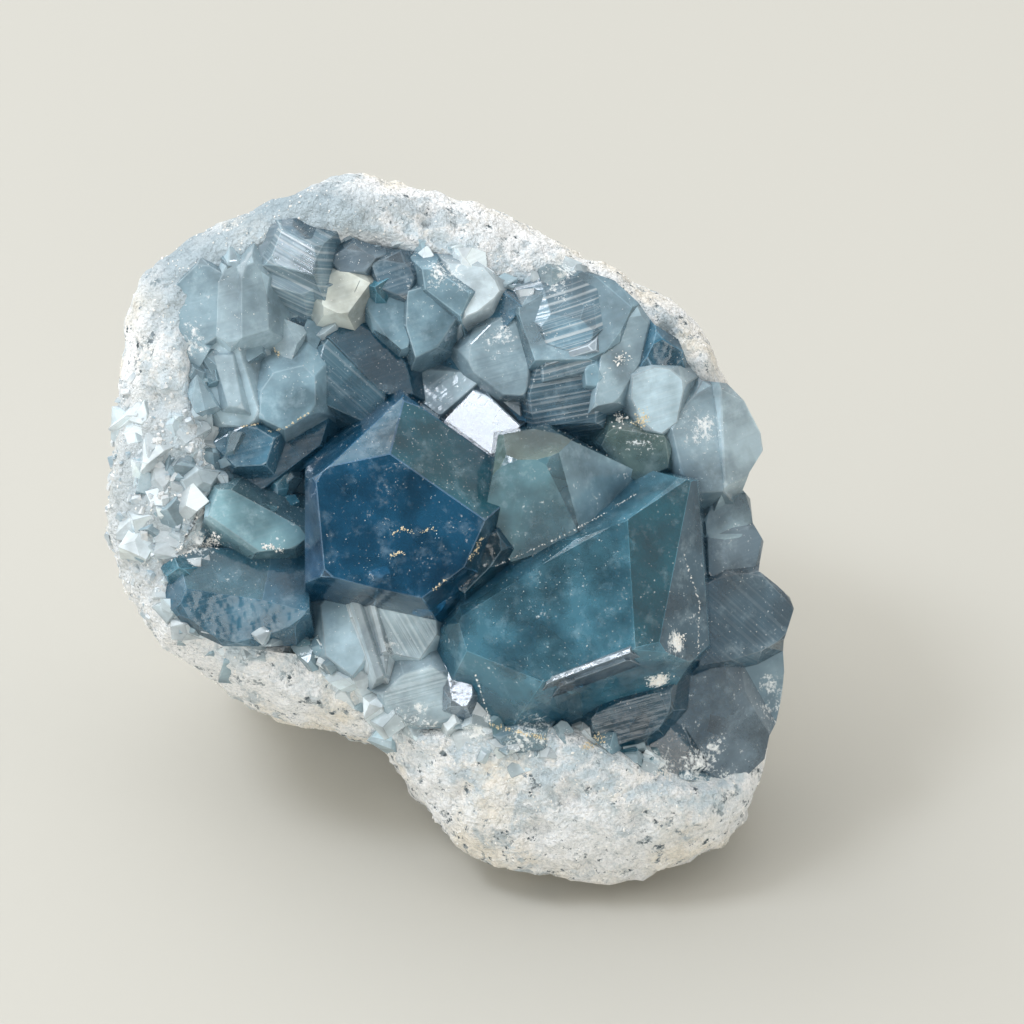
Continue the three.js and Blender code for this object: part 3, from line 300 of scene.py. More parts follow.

# Each crystal is a solid with flat faces: its name, its tint, and its main face, which passes through
# the point (u, v, w) and is turned by two angles in degrees, towards the right and then upwards. The
# corners run round that face, and each is followed by how steeply the side from it to the next corner
# falls away, in degrees from the plane of the open face. A cut is one more flat side: a point that it
# passes through, then the way it faces, as the angle round from +u and the angle up towards +w. A side
# or cut can name a tint of its own.
# A side's or cut's own tint is partly the crystal's own colour and partly painted light and shade: a facet
# drawn darker or paler than the rest of its crystal, as it looked under the light.
CRYSTALS = [
    ("big navy block", "navy", (-6, 2, 8.6, -2, 6),
     [(-17.3, 7.5, 44, "dusk"), (-8, 9.4, 42, "bottle"), (3.8, 1.2, 62, "shadow"), (1.2, -4.6, 66),
      (-4, -8.4, 72), (-9.5, -7.2, 72), (-16, -5.6, 62, "violet")],
     [(-18.8, 3, 0, 180, 2, "violet"), (-13.4, 11.6, 0, 128, 12), (4.4, 9.4, 0, 55, 4)]),
    ("big teal wedge", "teal", (18, -6, 8.5, -11, 8),
     [(21.3, 2.4, 24, "bottle"), (22.3, -15, 48, "slate"), (11.5, -19, 46), (1.5, -15, 60),
      (0.3, -11, 74), (2.6, -6.5, 66), (16, -1, 56)],
     [(24, 2.7, 8, 95, 40, "pale smoke"), (27.4, -5, 6.4, 2, 42, "pale smoke"),
      (25, -15.6, 8, 285, 32, "teal"), (31.2, -4, 0, 4, 6, "dusty"), (29.8, -17, 0, 320, 8),
      (28.6, 6.6, 0, 80, 4)]),
    ("upper streak", "silver", (16.5, -16.7, 10.15, -18, 20),
     [(11.4, -18.4, 70), (21.6, -14.6, 70), (21.7, -15.1, 70), (11.5, -18.9, 70)],
     []),
    ("lower streak", "silver", (17.2, -17.4, 9.4, -18, 20),
     [(13, -18.8, 70), (21.4, -15.6, 70), (21.5, -16, 70), (13.1, -19.2, 70)],
     []),
    ("pale gable", "sage", (10, 3, 6.8, 2, -20),
     [(6.5, 8.6, 45, "olive"), (12, 8.7, 42, "sky"), (15.8, -1.2, 60), (7, -4, 70), (4.2, 0, 74),
      (4, 6, 55, "olive")],
     [(9.2, 12.8, 0, 100, 4), (18.4, 9.5, 0, 62, 4), (4.4, 8.4, 0, 170, 4, "olive"),
      (15.4, -0.2, 5.4, 346, 62, "sage")]),
    ("mirror facet", "silver", (2, 14, -4.5, -18, 20),
     [(-2.3, 14.3, 50), (2.7, 18.2, 60), (8.2, 13, 80), (5, 9, 80), (0, 12.3, 80)],
     []),
    ("left stair", "pale", (-2, 18.2, -6.6, -14, 23),
     [(-5.8, 19.2, 60), (-4, 20.3, 55), (2.2, 19.8, 60), (3, 18.6, 70), (-2, 14.2, 70),
      (-5, 16.6, 70)],
     []),
    ("right stair", "white", (5.5, 16, -5.2, -13, 16),
     [(3, 18.4, 55), (8, 17.2, 70), (8.4, 12.8, 70), (4.6, 13.6, 70)],
     []),
    # Partly painted shade: a dark crystal in the slit between the big navy block and the pale gable, as
    # dark as the slit's shade.
    ("dark slit", "shadow", (3, -3.6, 6.4, -6, -6),
     [(4.2, -0.6, 66), (5.2, -0.2, 66), (6.2, -2, 60), (4.4, -4.6, 66), (1.2, -7.8, 70), (0, -7, 66),
      (1.8, -3.8, 66)],
     []),
    ("navy slope", "dusk", (1.5, 24, -7, -30, 10),
     [(-4.6, 20, 60), (-2.6, 23.4, 55), (0.5, 27.2, 50), (6, 30, 60), (8.4, 28, 70), (2, 20, 70),
      (0, 19, 70)],
     []),
    ("grey knuckle", "haze", (5.5, 22, -4, -8, 12),
     [(1, 22.4, 55), (2.6, 24.8, 50), (7.4, 27.6, 60), (8.8, 24, 66), (9.3, 18.5, 70),
      (8.6, 16.8, 70), (6, 16.9, 66), (2.4, 19.6, 60)],
     []),
    ("hazy crown", "slate", (14.5, 27, -3.6, 2, 24),
     [(7.8, 27.6, 50), (12, 31.4, 50), (15.7, 32.6, 50), (20.3, 31, 50), (22.2, 28, 50),
      (20, 23.4, 60), (17.6, 21.4, 66), (10, 21.2, 66), (9, 24, 60)],
     []),
    ("striped oval", "stripes", (14.2, 25.1, -2.2, 0, 16),
     [(10.8, 25.4, 34), (12, 27, 34), (14.6, 27.7, 34), (17, 26.7, 40), (17.7, 24.8, 50),
      (16.4, 23, 50), (13.8, 22.5, 50), (11.5, 23.3, 40)],
     []),
    ("lower crown", "stripes", (14, 18.5, -2.3, 0, 8),
     [(10.6, 21.4, 50), (17.3, 22.8, 50), (18, 18, 60), (17.6, 13.4, 70), (9.8, 13, 70),
      (9.3, 17, 66)],
     []),
    ("bright step", "silver", (14.4, 21.9, -1.3, -12, 18),
     [(11.2, 21.4, 60), (17.4, 23.3, 60), (17.5, 22.5, 66), (11.3, 20.6, 66)],
     []),
    ("dim step", "silver stripes", (14.2, 20, -1.7, -4, 4),
     [(10.9, 20.4, 60), (17.2, 21.9, 60), (17, 20, 66), (11, 18.6, 66)],
     []),
    ("small lens", "sky", (17, 19.4, -1.3, -6, 6),
     [(16.2, 20.4, 60), (17.6, 20.8, 60), (18.3, 19, 60), (17.6, 17.9, 66), (16.4, 18.1, 66)],
     []),
    ("grey flank", "haze", (21, 22, -3, 24, 8),
     [(17.4, 15.4, 66), (18.3, 21.8, 50), (22.4, 28, 55), (24.3, 25.9, 60), (24.1, 22.6, 60),
      (20.2, 16, 66)],
     []),
    ("navy foot", "haze", (14, 15, -5, 6, -12),
     [(9.6, 17.6, 60), (18, 18.2, 60), (17.8, 13, 70), (14, 10.6, 75), (10.6, 12.2, 75),
      (9.4, 14, 70)],
     []),
    ("blue nub", "pale", (25.4, 16.5, -2.6, 4, 8),
     [(22.1, 16.4, 55), (22.2, 19.2, 50), (25, 20.4, 60), (27.8, 20.1, 60), (28.8, 18.2, 66),
      (27.8, 13.4, 66), (25.9, 12, 60), (23.8, 12.6, 60)],
     []),
    ("dark recess", "dusk", (26, 21.8, -3.6, 10, -10),
     [(23.4, 20.4, 60), (25.3, 24.4, 55), (28.6, 22.4, 60), (28.4, 20.2, 60)],
     []),
    ("green block", "olive", (22.5, 10, -1.6, 0, 12),
     [(18.3, 10.5, 60), (19.5, 13, 55), (22, 12.9, 55), (26, 12, 66), (26.9, 10.3, 66),
      (26.6, 7.8, 60), (22.8, 6, 70), (20.2, 7.8, 70)],
     []),
    ("frosted shoulder", "haze", (31, 11.5, -3.2, 22, 16),
     [(27.2, 12.6, 50), (29, 15.8, 50), (31.2, 18, 50), (34, 18.3, 60), (34.6, 12, 66),
      (33.6, 4.8, 60), (30.6, 4.6, 55), (28.4, 7, 50)],
     []),
    ("shoulder tip", "pale", (35.4, 11.6, -4.6, 38, 10),
     [(33.4, 17.6, 50), (36.2, 16.2, 66), (38.4, 12, 70), (38.6, 9.8, 70), (36.8, 6.8, 60),
      (33.8, 5.4, 60), (33.6, 10, 55)],
     []),
    ("upper step", "haze", (34, 1.5, -5, 28, 10),
     [(31.4, 1.2, 60), (32.4, 3.4, 60), (34.2, 4.5, 66), (36.6, 4.4, 72), (37.3, 2, 74),
      (37.5, 0, 66), (35, -1.4, 66), (31.6, -1, 60)],
     []),
    ("lower step", "smoke", (35, -3, -5, 28, 4),
     [(31.6, -1, 55), (35, 0.2, 60), (37.6, 0.6, 70), (39, -1.4, 74), (38.2, -4, 70),
      (38, -5.4, 66), (34.5, -6.6, 66), (31.8, -5.8, 60)],
     []),
    ("smoky spur", "pale smoke", (36, -11, -4, 24, 4),
     [(31.2, -7, 55), (34, -5.6, 55), (38.2, -5.5, 60), (40.6, -7.1, 70), (42.8, -10, 74),
      (41.6, -13.6, 70), (38.5, -15.3, 66), (34.5, -16.4, 60), (30.6, -17, 55), (30.8, -12, 60)],
     []),
    ("white edge", "haze", (38, -19, -8, 30, 0),
     [(33.6, -17.2, 55), (36.2, -15.2, 60), (39, -14.7, 66), (41.2, -13.9, 74), (41.7, -18, 76),
      (41.1, -22, 70), (40.5, -24.3, 66), (38.6, -23.6, 60), (36, -20.8, 60)],
     []),
    ("smoky base", "smoke", (33, -24.5, -4.4, 20, -10),
     [(27, -20.4, 50), (30.4, -17.6, 50), (33.2, -17.3, 50), (36.6, -21, 60), (39.7, -26, 66),
      (38.9, -29, 66), (36, -31.8, 60), (33, -31.6, 60), (29.6, -29, 60), (26.6, -24, 60)],
     []),
    ("navy corner", "shadow", (27, -27.5, -2.6, 0, -12),
     [(24.2, -26, 55), (26.4, -23.6, 50), (28.6, -25.4, 60), (30.8, -29.6, 66),
      (27.6, -31.2, 66), (24.4, -30.6, 60)],
     []),
    ("bottle green block", "shadow", (22, -24, 1, 2, -16),
     [(17, -23.6, 55), (18.4, -22, 40), (24, -20.6, 40), (26.9, -20, 60), (26.9, -22.6, 66),
      (25.4, -24.9, 66), (22, -26.9, 70), (19.2, -27.3, 66), (17.4, -25.8, 60)],
     []),
    ("white petal", "pale", (-6.5, -11.5, 1.8, -6, -5),
     [(-10, -7.6, 55), (-5, -7.6, 60), (-2.4, -9.6, 66), (-2.2, -13, 60), (-4.4, -16.2, 60),
      (-7.6, -15.6, 50), (-10.4, -11, 50)],
     []),
    ("left vein", "frost", (-11.4, -12.4, 1.7, -16, 0),
     [(-13.6, -6.8, 66), (-12.8, -6.4, 66), (-8.9, -18.2, 66), (-9.7, -18.6, 66)],
     []),
    ("right vein", "white", (-9.8, -10.6, 2.1, -10, 0),
     [(-11.6, -6, 66), (-10.8, -6.2, 66), (-8.4, -15.2, 66), (-9.1, -15.4, 66)],
     []),
    ("veined blade", "white", (-11, -12, 1, -16, 0),
     [(-14, -6.8, 60), (-11.4, -5.4, 66), (-9.6, -8.6, 60), (-8.6, -14, 60), (-8.6, -18.8, 66),
      (-10.4, -17.8, 60), (-12.8, -11, 60)],
     []),
    ("pale shard", "haze", (-13.5, -13, 0, -10, 6),
     [(-16.9, -9.4, 60), (-14.6, -7, 60), (-12, -8.4, 60), (-11, -16, 66), (-12.8, -18.4, 66),
      (-16.2, -15.8, 60)],
     []),
    ("teal chip", "teal", (-6.5, -17.5, -0.6, 0, 0),
     [(-9.2, -15, 60), (-4, -15.8, 66), (-5, -18.6, 66), (-8.8, -20.4, 60)],
     []),
    ("pale boss", "pale", (-4, -20.8, 1.2, 0, -18),
     [(-9.2, -20.6, 50), (-6.4, -18, 45), (-3, -17, 50), (-0.8, -18.2, 60), (-0.2, -21, 60),
      (0.6, -23.8, 66), (-4.6, -24.6, 66), (-8.4, -23.2, 60)],
     []),
    ("flashing facet", "silver", (0.4, -18.4, 2.3, -18, 20),
     [(-1.7, -15.3, 55), (0.8, -14.6, 66), (2, -17.6, 66), (2.2, -20.6, 66), (1.4, -22, 66),
      (-0.2, -21.8, 60), (-1.6, -18.6, 60)],
     []),
    ("white blade", "white", (3.2, -20.8, 1.7, 10, -10),
     [(2, -17.6, 60), (3.6, -20, 70), (4.8, -23.8, 70), (3.2, -24.6, 66), (1.6, -22.4, 60)],
     []),
    ("teal block", "white", (-0.8, -12.5, 0, 0, 0),
     [(-3, -10.2, 60), (0.8, -9, 66), (2, -13, 66), (0.4, -15.4, 60), (-3, -15.2, 60)],
     []),
    ("teal skirt", "teal", (-4, -5.5, 2.4, 6, -20),
     [(-10.4, -5.2, 66), (-3, -3, 66), (3, -2, 70), (0.6, -6, 66), (-3.6, -8.8, 60),
      (-9.2, -8.4, 60)],
     []),
    ("periwinkle lens", "dusk", (-27, -10, 1.6, -3, -12),
     [(-33.5, -7.4, 32, "teal"), (-24, -8.8, 32, "dusk"), (-18.4, -10.2, 60), (-20, -11.8, 55),
      (-26, -14.1, 60), (-28.8, -14.1, 60), (-31, -12.7, 55), (-34.6, -10, 50)],
     [(-27, -2.5, 0, 90, 6, "teal"), (-36.2, -5.2, 0, 165, 6), (-18.3, -6, 0, 4, 4)]),
    ("aqua box", "aqua", (-23.5, 1.5, 0.9, -2, 2),
     [(-29.3, 5.7, 66), (-28, 5, 70), (-18.8, 5.1, 76), (-18.5, -1, 70), (-20, -2.3, 66),
      (-25, -2.8, 60), (-28.6, -0.2, 60), (-30.9, 1.4, 60)],
     []),
    ("navy chip", "dusk", (-26.5, 10.5, -2, -10, 12),
     [(-30.5, 10.8, 55), (-28.8, 12.8, 55), (-26, 13.4, 60), (-22.7, 11.4, 66), (-23.7, 8.1, 66),
      (-27.5, 7.9, 60)],
     []),
    ("dusty shelf", "dusk", (-20.4, 9.5, -4.2, -6, 16),
     [(-23, 12.2, 60), (-17, 14.7, 66), (-13.6, 13.2, 66), (-17, 10.6, 66), (-18.8, 4.6, 70),
      (-27, 4.8, 66), (-27.7, 8, 60)],
     []),
    ("sky blue cube", "sky", (-21, 16.8, -2.2, -6, 8),
     [(-24.5, 14, 50), (-24.4, 17.4, 50), (-22.8, 19.7, 50), (-19.1, 20.6, 50), (-17.6, 19.1, 60),
      (-17.5, 14.9, 66), (-21.4, 12.5, 66)],
     []),
    ("tall blade", "haze", (-29.5, 18, -3.2, -10, 2),
     [(-34, 23.2, 60), (-30, 24.6, 60), (-27.4, 23.6, 55), (-24.4, 14.2, 66), (-26.4, 12.8, 66),
      (-30, 13.2, 60), (-31.8, 16, 55), (-32.8, 20, 55)],
     []),
    ("bright strip", "haze", (-28.4, 18.6, -1.9, -12, 12),
     [(-30.3, 21.8, 60), (-27.9, 21.9, 66), (-26.6, 15.2, 66), (-28.4, 15.4, 60)],
     []),
    ("hazy blade", "haze", (-27.6, 28, -2.4, -14, 8),
     [(-30, 24.2, 55), (-29.8, 31, 55), (-28, 34.6, 60), (-26.6, 33, 60), (-26.2, 24.4, 66),
      (-28, 23, 60)],
     []),
    ("second hazy blade", "haze", (-25.2, 28.4, -2, 14, 2),
     [(-26.8, 24, 60), (-26.8, 32.6, 60), (-25.6, 34, 60), (-23.8, 31.6, 60), (-23.4, 25, 60)],
     []),
    ("frosted corner", "slate", (-32, 28, -3.4, -10, 8),
     [(-36, 25, 60), (-35.8, 30.2, 60), (-32, 33.8, 60), (-29, 32, 60), (-28.8, 25, 60),
      (-32, 22.8, 60)],
     []),
    ("slate slab", "dark stripes", (-13, 18.5, -4.2, -4, 10),
     [(-17.6, 22, 55), (-16, 24, 55), (-8.8, 17.4, 66), (-9, 15.2, 66), (-11.6, 13.6, 66),
      (-17.4, 16.2, 60)],
     []),
    ("dark ridge", "shadow", (-10.5, 21.8, -5, 10, 20),
     [(-16, 24.2, 60), (-13.6, 26.4, 60), (-9.8, 25.4, 60), (-6.2, 20.8, 60), (-5.4, 17, 66),
      (-9, 17, 66)],
     []),
    ("shadow shelf", "dusk", (-17, 25, -6.6, 0, 12),
     [(-23.2, 24.6, 60), (-18, 28.4, 60), (-13, 27.2, 66), (-8.8, 21, 66), (-16, 23, 70),
      (-20, 20.6, 66)],
     []),
    ("striped top", "silver stripes", (-20.2, 34.8, -1.5, -17, 20),
     [(-23.4, 33.4, 60), (-21.8, 37.6, 60), (-17.2, 35.2, 66), (-17.8, 31.8, 60)],
     []),
    ("striped top flank", "pale smoke", (-23.6, 35.4, -4, -24, 14),
     [(-26.4, 34, 60), (-24.2, 38, 60), (-20.6, 38.2, 60), (-18.6, 36.4, 66), (-23, 32.6, 60),
      (-25, 32.4, 60)],
     []),
    ("striped foot", "stripes", (-21.4, 31.2, -3.2, -12, 16),
     [(-25, 32.6, 60), (-23.4, 33, 60), (-17.6, 30.4, 60), (-19, 29.4, 60), (-23.2, 30.6, 60)],
     []),
    ("cream facet", "cream", (-14.2, 29.8, -3.6, 0, 16),
     [(-17.4, 29.4, 60), (-15.4, 32.6, 60), (-12.3, 32.4, 60), (-10.7, 31, 60), (-13.6, 27, 60),
      (-16.2, 27.4, 60)],
     []),
    ("violet triangle", "pale smoke", (-8.5, 31.8, -4.4, 6, 14),
     [(-10.6, 33.6, 60), (-7.4, 34.4, 55), (-5, 32.2, 60), (-6.2, 29, 60), (-9.5, 30.4, 60)],
     []),
    ("rim triangle", "smoke", (-13, 33.8, -4.6, -4, 16),
     [(-16, 34.2, 60), (-13, 35.8, 60), (-10, 34.2, 60), (-11.4, 32.4, 60), (-14.6, 32.4, 60)],
     []),
    ("green grey chip", "slate", (-9, 26, -4.6, -4, 8),
     [(-12.9, 27.9, 60), (-10.5, 29.9, 60), (-6, 29.2, 60), (-5.2, 26.6, 60), (-6, 22.9, 66),
      (-8.5, 22, 66), (-10.1, 25.5, 60)],
     []),
    ("white plate", "frost", (2, 30.5, -4.6, 4, 18),
     [(-1.5, 33.8, 60), (4.4, 33, 60), (5.6, 30, 60), (4, 27.9, 60), (1, 26.6, 66), (-0.4, 30, 70)],
     []),
    ("grey plate", "slate", (-1.2, 30.3, -3.5, 0, 10),
     [(-4.2, 32.8, 60), (-2.7, 32.8, 60), (1.9, 29.6, 66), (0.6, 26.8, 66), (-3.8, 30.2, 60)],
     []),
    ("speckled chip", "slate", (-3.6, 26.2, -4.1, 6, 4),
     [(-6, 29.9, 60), (-3.8, 30.6, 60), (0.5, 27.2, 60), (-2.3, 22.9, 66), (-5, 21.6, 66),
      (-6.2, 25.6, 60)],
     []),
    ("rim lens", "sky", (8.5, -26.4, 2, 0, -26),
     [(5.4, -26, 50), (8, -25, 50), (11, -25.4, 60), (11.2, -27.4, 66), (6.4, -27.8, 66)],
     []),
]
CRYSTAL_ROOT = -17.5  # how deep the crystals go, inside the rind
EDGE_WEAR = 0.11  # how wide their edges are rounded,
MOST_WEAR = 0.2  # and at most this share of a crystal's shortest side

# Where the crust ends, (u, v) clockwise from the top: along the inside of the rim, and down the right
# where the rim is broken away and the crystals stand free.
CRUST_EDGE = [
    (-18, 39.4), (-12, 36.4), (-8, 35.4), (-4, 35), (2, 34.4), (5.8, 31.6), (8, 30.8), (12, 32.2),
    (16, 32.8), (20, 31.4), (23, 28.6), (25, 25.8), (28, 24), (29.2, 21), (31, 18.8), (34.2, 18.4),
    (36.4, 16.2), (38.5, 12.2), (38.8, 10), (37, 7.2), (36.2, 5), (37.2, 3.9), (37.5, 0.8),
    (38.9, -1.5), (38.2, -5.2), (40.6, -7.1), (42.2, -8.6), (42.7, -10), (41.4, -14), (41.6, -18),
    (41.3, -21), (40.6, -24.4), (39.6, -26), (39, -29), (36.4, -31.4), (33, -31.8), (24.2, -30.9),
    (23.6, -27.6), (19.5, -28), (16.6, -25.6), (11.4, -27.8), (5, -28), (4.6, -24.8), (-5, -25),
    (-9.4, -23.6), (-9.8, -20.6), (-13.6, -18.6), (-17, -16), (-20, -14.6), (-29, -14.6),
    (-33.6, -12.4), (-36.6, -8.6), (-37, -4.6), (-32.6, -2.2), (-31.4, 1.4), (-31, 6), (-32, 10),
    (-34.6, 20), (-36.4, 25.4), (-36, 30.4), (-32, 34.2), (-26.6, 37), (-24.8, 38.8)]
BED_MIDDLE = np.array([0, 3, -10])  # the lowest part of the bed of small crystals in the hollow
BED_BELOW_CREST = 0.8  # how far short of the rim the bed stops
BED_STEEPNESS = 2.4
BED_SHARES = [0.3, 0.5, 0.66, 0.78, 0.88, 0.95, 1]  # the rows of its points, from the middle out
BED_COLUMNS_PER_STATION = 4
BED_GRAIN = 2.4  # how far apart its swellings lie,
BED_ROUGHNESS = 0.9  # and how high they are
BED_FOOT = -21  # where the flat foot lies that closes it below,
BED_TAPER = 0.97  # and how much narrower than the bed the foot is
MOULD_REACH = (-50, 30)  # how far the mould of the crust's edge reaches along w
CRACK_WIDTH = 0.06  # of the air-filled cracks inside the crystals
CRACKS_PER_MM = 0.35  # of a crystal's size
CRACK_SIZES = (0.15, 0.4)  # of a crystal's size
CRACK_DEPTHS = (0.15, 0.8)  # of a crystal's size
UPRIGHT_CRACKS = 0.5  # the share of the cracks that stand nearly square to the open face
DRUSE_COUNT = 220
DRUSE_SIZES = (1.6, 5)
DRUSE_BAND = (0.62, 0.36)  # how far out the druse starts, and how wide its band is
DRUSE_TINTS = ["pale", "aqua", "frost", "slate", "sky", "teal"]
DRUSE_LEAN = 1.2  # in radians, from one side to the other
DRUSE_BROKEN_CORNERS = 5
DRUSE_WEAR = 0.07
LEAST_DIFFERENCE = 1e-4  # smaller ones don't count
ROUNDING = 1e-6
ASKEW = (0.31, 0.85, 0.42)  # a direction that no crystal's side faces


def flat(point, direction):
    """A flat side, as its outward direction and how far out it lies along it."""
    normal = unit(np.array(direction, float))
    return normal, float(normal @ np.array(point, float))


def directions_on(normal):
    """Two directions at right angles that lie on a flat side."""
    across = unit(np.cross(normal, ASKEW))
    return across, np.cross(normal, across)


def sides_of(face, corners, cuts):
    """The flat sides that bound one crystal, its main face first, and the tints named for them."""
    u, v, w, right, up = face
    slope_u, slope_v = -math.tan(math.radians(right)), -math.tan(math.radians(up))

    def on_face(corner):
        return w + slope_u * (corner[0] - u) + slope_v * (corner[1] - v)

    following = corners[1:] + corners[:1]
    turning = sum(a[0] * b[1] - b[0] * a[1] for a, b in zip(corners, following))
    sides = [flat((u, v, w), (-slope_u, -slope_v, 1))]
    tints = [None]
    for here, there in zip(corners, following):
        length = math.dist(here[:2], there[:2])
        along = ((there[0] - here[0]) / length, (there[1] - here[1]) / length)
        outward = (along[1], -along[0]) if turning > 0 else (-along[1], along[0])
        rise = (on_face(there) - on_face(here)) / length
        fall = math.tan(math.radians(here[2]))
        sides.append(flat((here[0], here[1], on_face(here)), (
            fall * outward[0] - rise * along[0], fall * outward[1] - rise * along[1], 1)))
        tints.append(here[3] if len(here) > 3 else None)
    for cu, cv, cw, turned, raised, *named in cuts:
        turned, raised = math.radians(turned), math.radians(raised)
        tints.append(named[0] if named else None)
        sides.append(flat((cu, cv, cw), (
            math.cos(turned) * math.cos(raised), math.sin(turned) * math.cos(raised),
            math.sin(raised))))
    sides.append(flat((u, v, CRYSTAL_ROOT), (0, 0, -1)))
    return sides, tints + [None]


def solid_between(sides, tints=None):
    """Points and many-cornered faces of the solid inside all its flat sides, and each face's tint."""
    normals = np.array([side[0] for side in sides])
    reaches = np.array([side[1] for side in sides])
    points = []
    for i in range(len(sides)):
        for j in range(i + 1, len(sides)):
            for k in range(j + 1, len(sides)):
                matrix = normals[[i, j, k]]
                if abs(np.linalg.det(matrix)) < LEAST_DIFFERENCE:
                    continue
                point = np.linalg.solve(matrix, reaches[[i, j, k]])
                if np.all(normals @ point < reaches + ROUNDING):
                    points.append(point)
    distinct = []
    for point in points:
        if all(np.linalg.norm(point - other) > LEAST_DIFFERENCE for other in distinct):
            distinct.append(point)
    points = np.array(distinct)
    faces, kept_tints = [], []
    tints = (tints or []) + [None] * len(sides)
    for (normal, reach), tint in zip(sides, tints):
        on_side = np.where(np.abs(points @ normal - reach) < LEAST_DIFFERENCE)[0]
        if len(on_side) < 3:
            continue
        across, upright = directions_on(normal)
        spokes = points[on_side] - points[on_side].mean(axis=0)
        order = np.argsort(np.arctan2(spokes @ upright, spokes @ across))
        faces.append(tuple(int(n) for n in on_side[order]))
        kept_tints.append(tint)
    return points, faces, kept_tints


def bed_point(station, share):
    """A point of the bed, beside a station that may be a fraction and this share of the way out."""
    crest = smooth_rows(STATIONS, np.array([station]))[0, 3:]
    u, v, _ = BED_MIDDLE + (crest - BED_MIDDLE) * share
    w = BED_MIDDLE[2] + (crest[2] - BED_BELOW_CREST - BED_MIDDLE[2]) * share ** BED_STEEPNESS
    return np.array([u, v, w])


LEAST_EDGE = 0.002  # shorter edges than this are closed up
CHIPPED_SHARE = 0.45  # of a crystal's corners
CHIP_DEPTHS = (0.1, 0.4)
CHIPS_FROM = CRYSTAL_ROOT + 8  # deeper than this no corner is chipped
MAIN_FACE_SHADES = (0.95, 1.12)  # how much deeper or paler than its tint a crystal's main face is,
SIDE_SHADES = (0.76, 1.12)  # and its other sides
MILKINESS_CHANGES = (0.75, 1.3)
PALEST_WORN_AND_LIT_EDGE = 0.16  # how far a worn edge goes towards white, partly as a painted highlight
EDGE_MILKINESS = 0.6
shade_draw = random.Random(21)


def crystal_mesh(name, solid, tint, wear=EDGE_WEAR):
    """One crystal with its edges rounded off, and a tint on every corner, a little paler or deeper
    from face to face, and paler on the rounded edges: wear, and partly a painted highlight."""
    points, faces, side_tints = solid
    shape = bmesh.new()
    corners = [shape.verts.new(tuple(point)) for point in points]
    for number, face in enumerate(faces):
        shape.faces.new([corners[n] for n in face]).material_index = number
    if wear:
        bmesh.ops.bevel(shape, geom=list(shape.edges), offset=wear, segments=1, profile=0.5,
                        affect="EDGES", clamp_overlap=True, material=len(faces))
        bmesh.ops.remove_doubles(shape, verts=list(shape.verts), dist=LEAST_EDGE)
    bmesh.ops.recalc_face_normals(shape, faces=list(shape.faces))
    mesh = bpy.data.meshes.new(name)
    shape.to_mesh(mesh)
    shape.free()
    face_values = []
    for side_tint in side_tints:
        colour, milkiness, _ = TINTS[side_tint or tint]
        shade = shade_draw.uniform(*(SIDE_SHADES if face_values else MAIN_FACE_SHADES))
        body = [min(1, channel * shade) for channel in linear(colour)[:3]]
        face_values.append(body + [milkiness * shade_draw.uniform(*MILKINESS_CHANGES)])
    # Rounded edges drawn paler towards white: wear, and partly a painted highlight along them.
    edge_wear_and_highlight = shade_draw.uniform(0, PALEST_WORN_AND_LIT_EDGE)
    edge = [channel + edge_wear_and_highlight * (1 - channel) for channel in face_values[0][:3]]
    face_values.append(edge + [EDGE_MILKINESS])
    values = []
    for polygon in mesh.polygons:
        values += face_values[polygon.material_index] * len(polygon.loop_indices)
        polygon.material_index = 0
    mesh.attributes.new("tint", "FLOAT_COLOR", "CORNER").data.foreach_set("color", values)
    angle = math.radians(GROWTH_LINES.get(name, GROWTH_LINES_ELSEWHERE))
    heights = points_of(mesh) @ np.array([math.cos(angle), math.sin(angle), GROWTH_LINES_OUTWARD])
    values = [heights[loop.vertex_index] for loop in mesh.loops]
    mesh.attributes.new("growth", "FLOAT", "CORNER").data.foreach_set("value", values)
    streaky = mesh.attributes.new("streaky", "FLOAT", "CORNER").data
    streaky.foreach_set("value", [TINTS[tint][2]] * len(mesh.loops))
    return mesh


def leaning_block(draw, middle, size, tint):
    """A small crystal that leans at random, with a few of its corners broken off."""
    half = np.array([size, size * (0.5 + 0.4 * draw.random()), size * 1.8]) / 2
    turn = Matrix.Rotation(math.pi * draw.random(), 3, "Z")
    turn = turn @ Matrix.Rotation(DRUSE_LEAN * (draw.random() - 0.5), 3, "X")
    turn = np.array(turn @ Matrix.Rotation(DRUSE_LEAN * (draw.random() - 0.5), 3, "Y"))
    sides = []
    for axis in range(3):
        for sense in (1, -1):
            direction = turn[:, axis] * sense
            sides.append(flat(middle + direction * half[axis], direction))
    for _ in range(DRUSE_BROKEN_CORNERS):
        direction = np.array([draw.uniform(-1, 1), draw.uniform(-1, 1), draw.uniform(0.3, 1.2)])
        direction = unit(turn @ direction)
        sides.append(flat(middle + direction * half.mean() * draw.uniform(1, 1.2), direction))
    return crystal_mesh("druse", solid_between(sides), tint, DRUSE_WEAR)


def chipped_corners(draw, sides):
    """Small flat sides that take off a few corners of a crystal, nearest the top."""
    chips = []
    for point in solid_between(sides)[0]:
        meeting = [normal for normal, reach in sides if abs(normal @ point - reach) < LEAST_DIFFERENCE]
        if point[2] < CHIPS_FROM or draw.random() > CHIPPED_SHARE:
            continue
        outward = unit(sum(normal * draw.uniform(0.4, 1) for normal in meeting))
        chips.append((outward, float(outward @ point) - draw.uniform(*CHIP_DEPTHS)))
    return chips


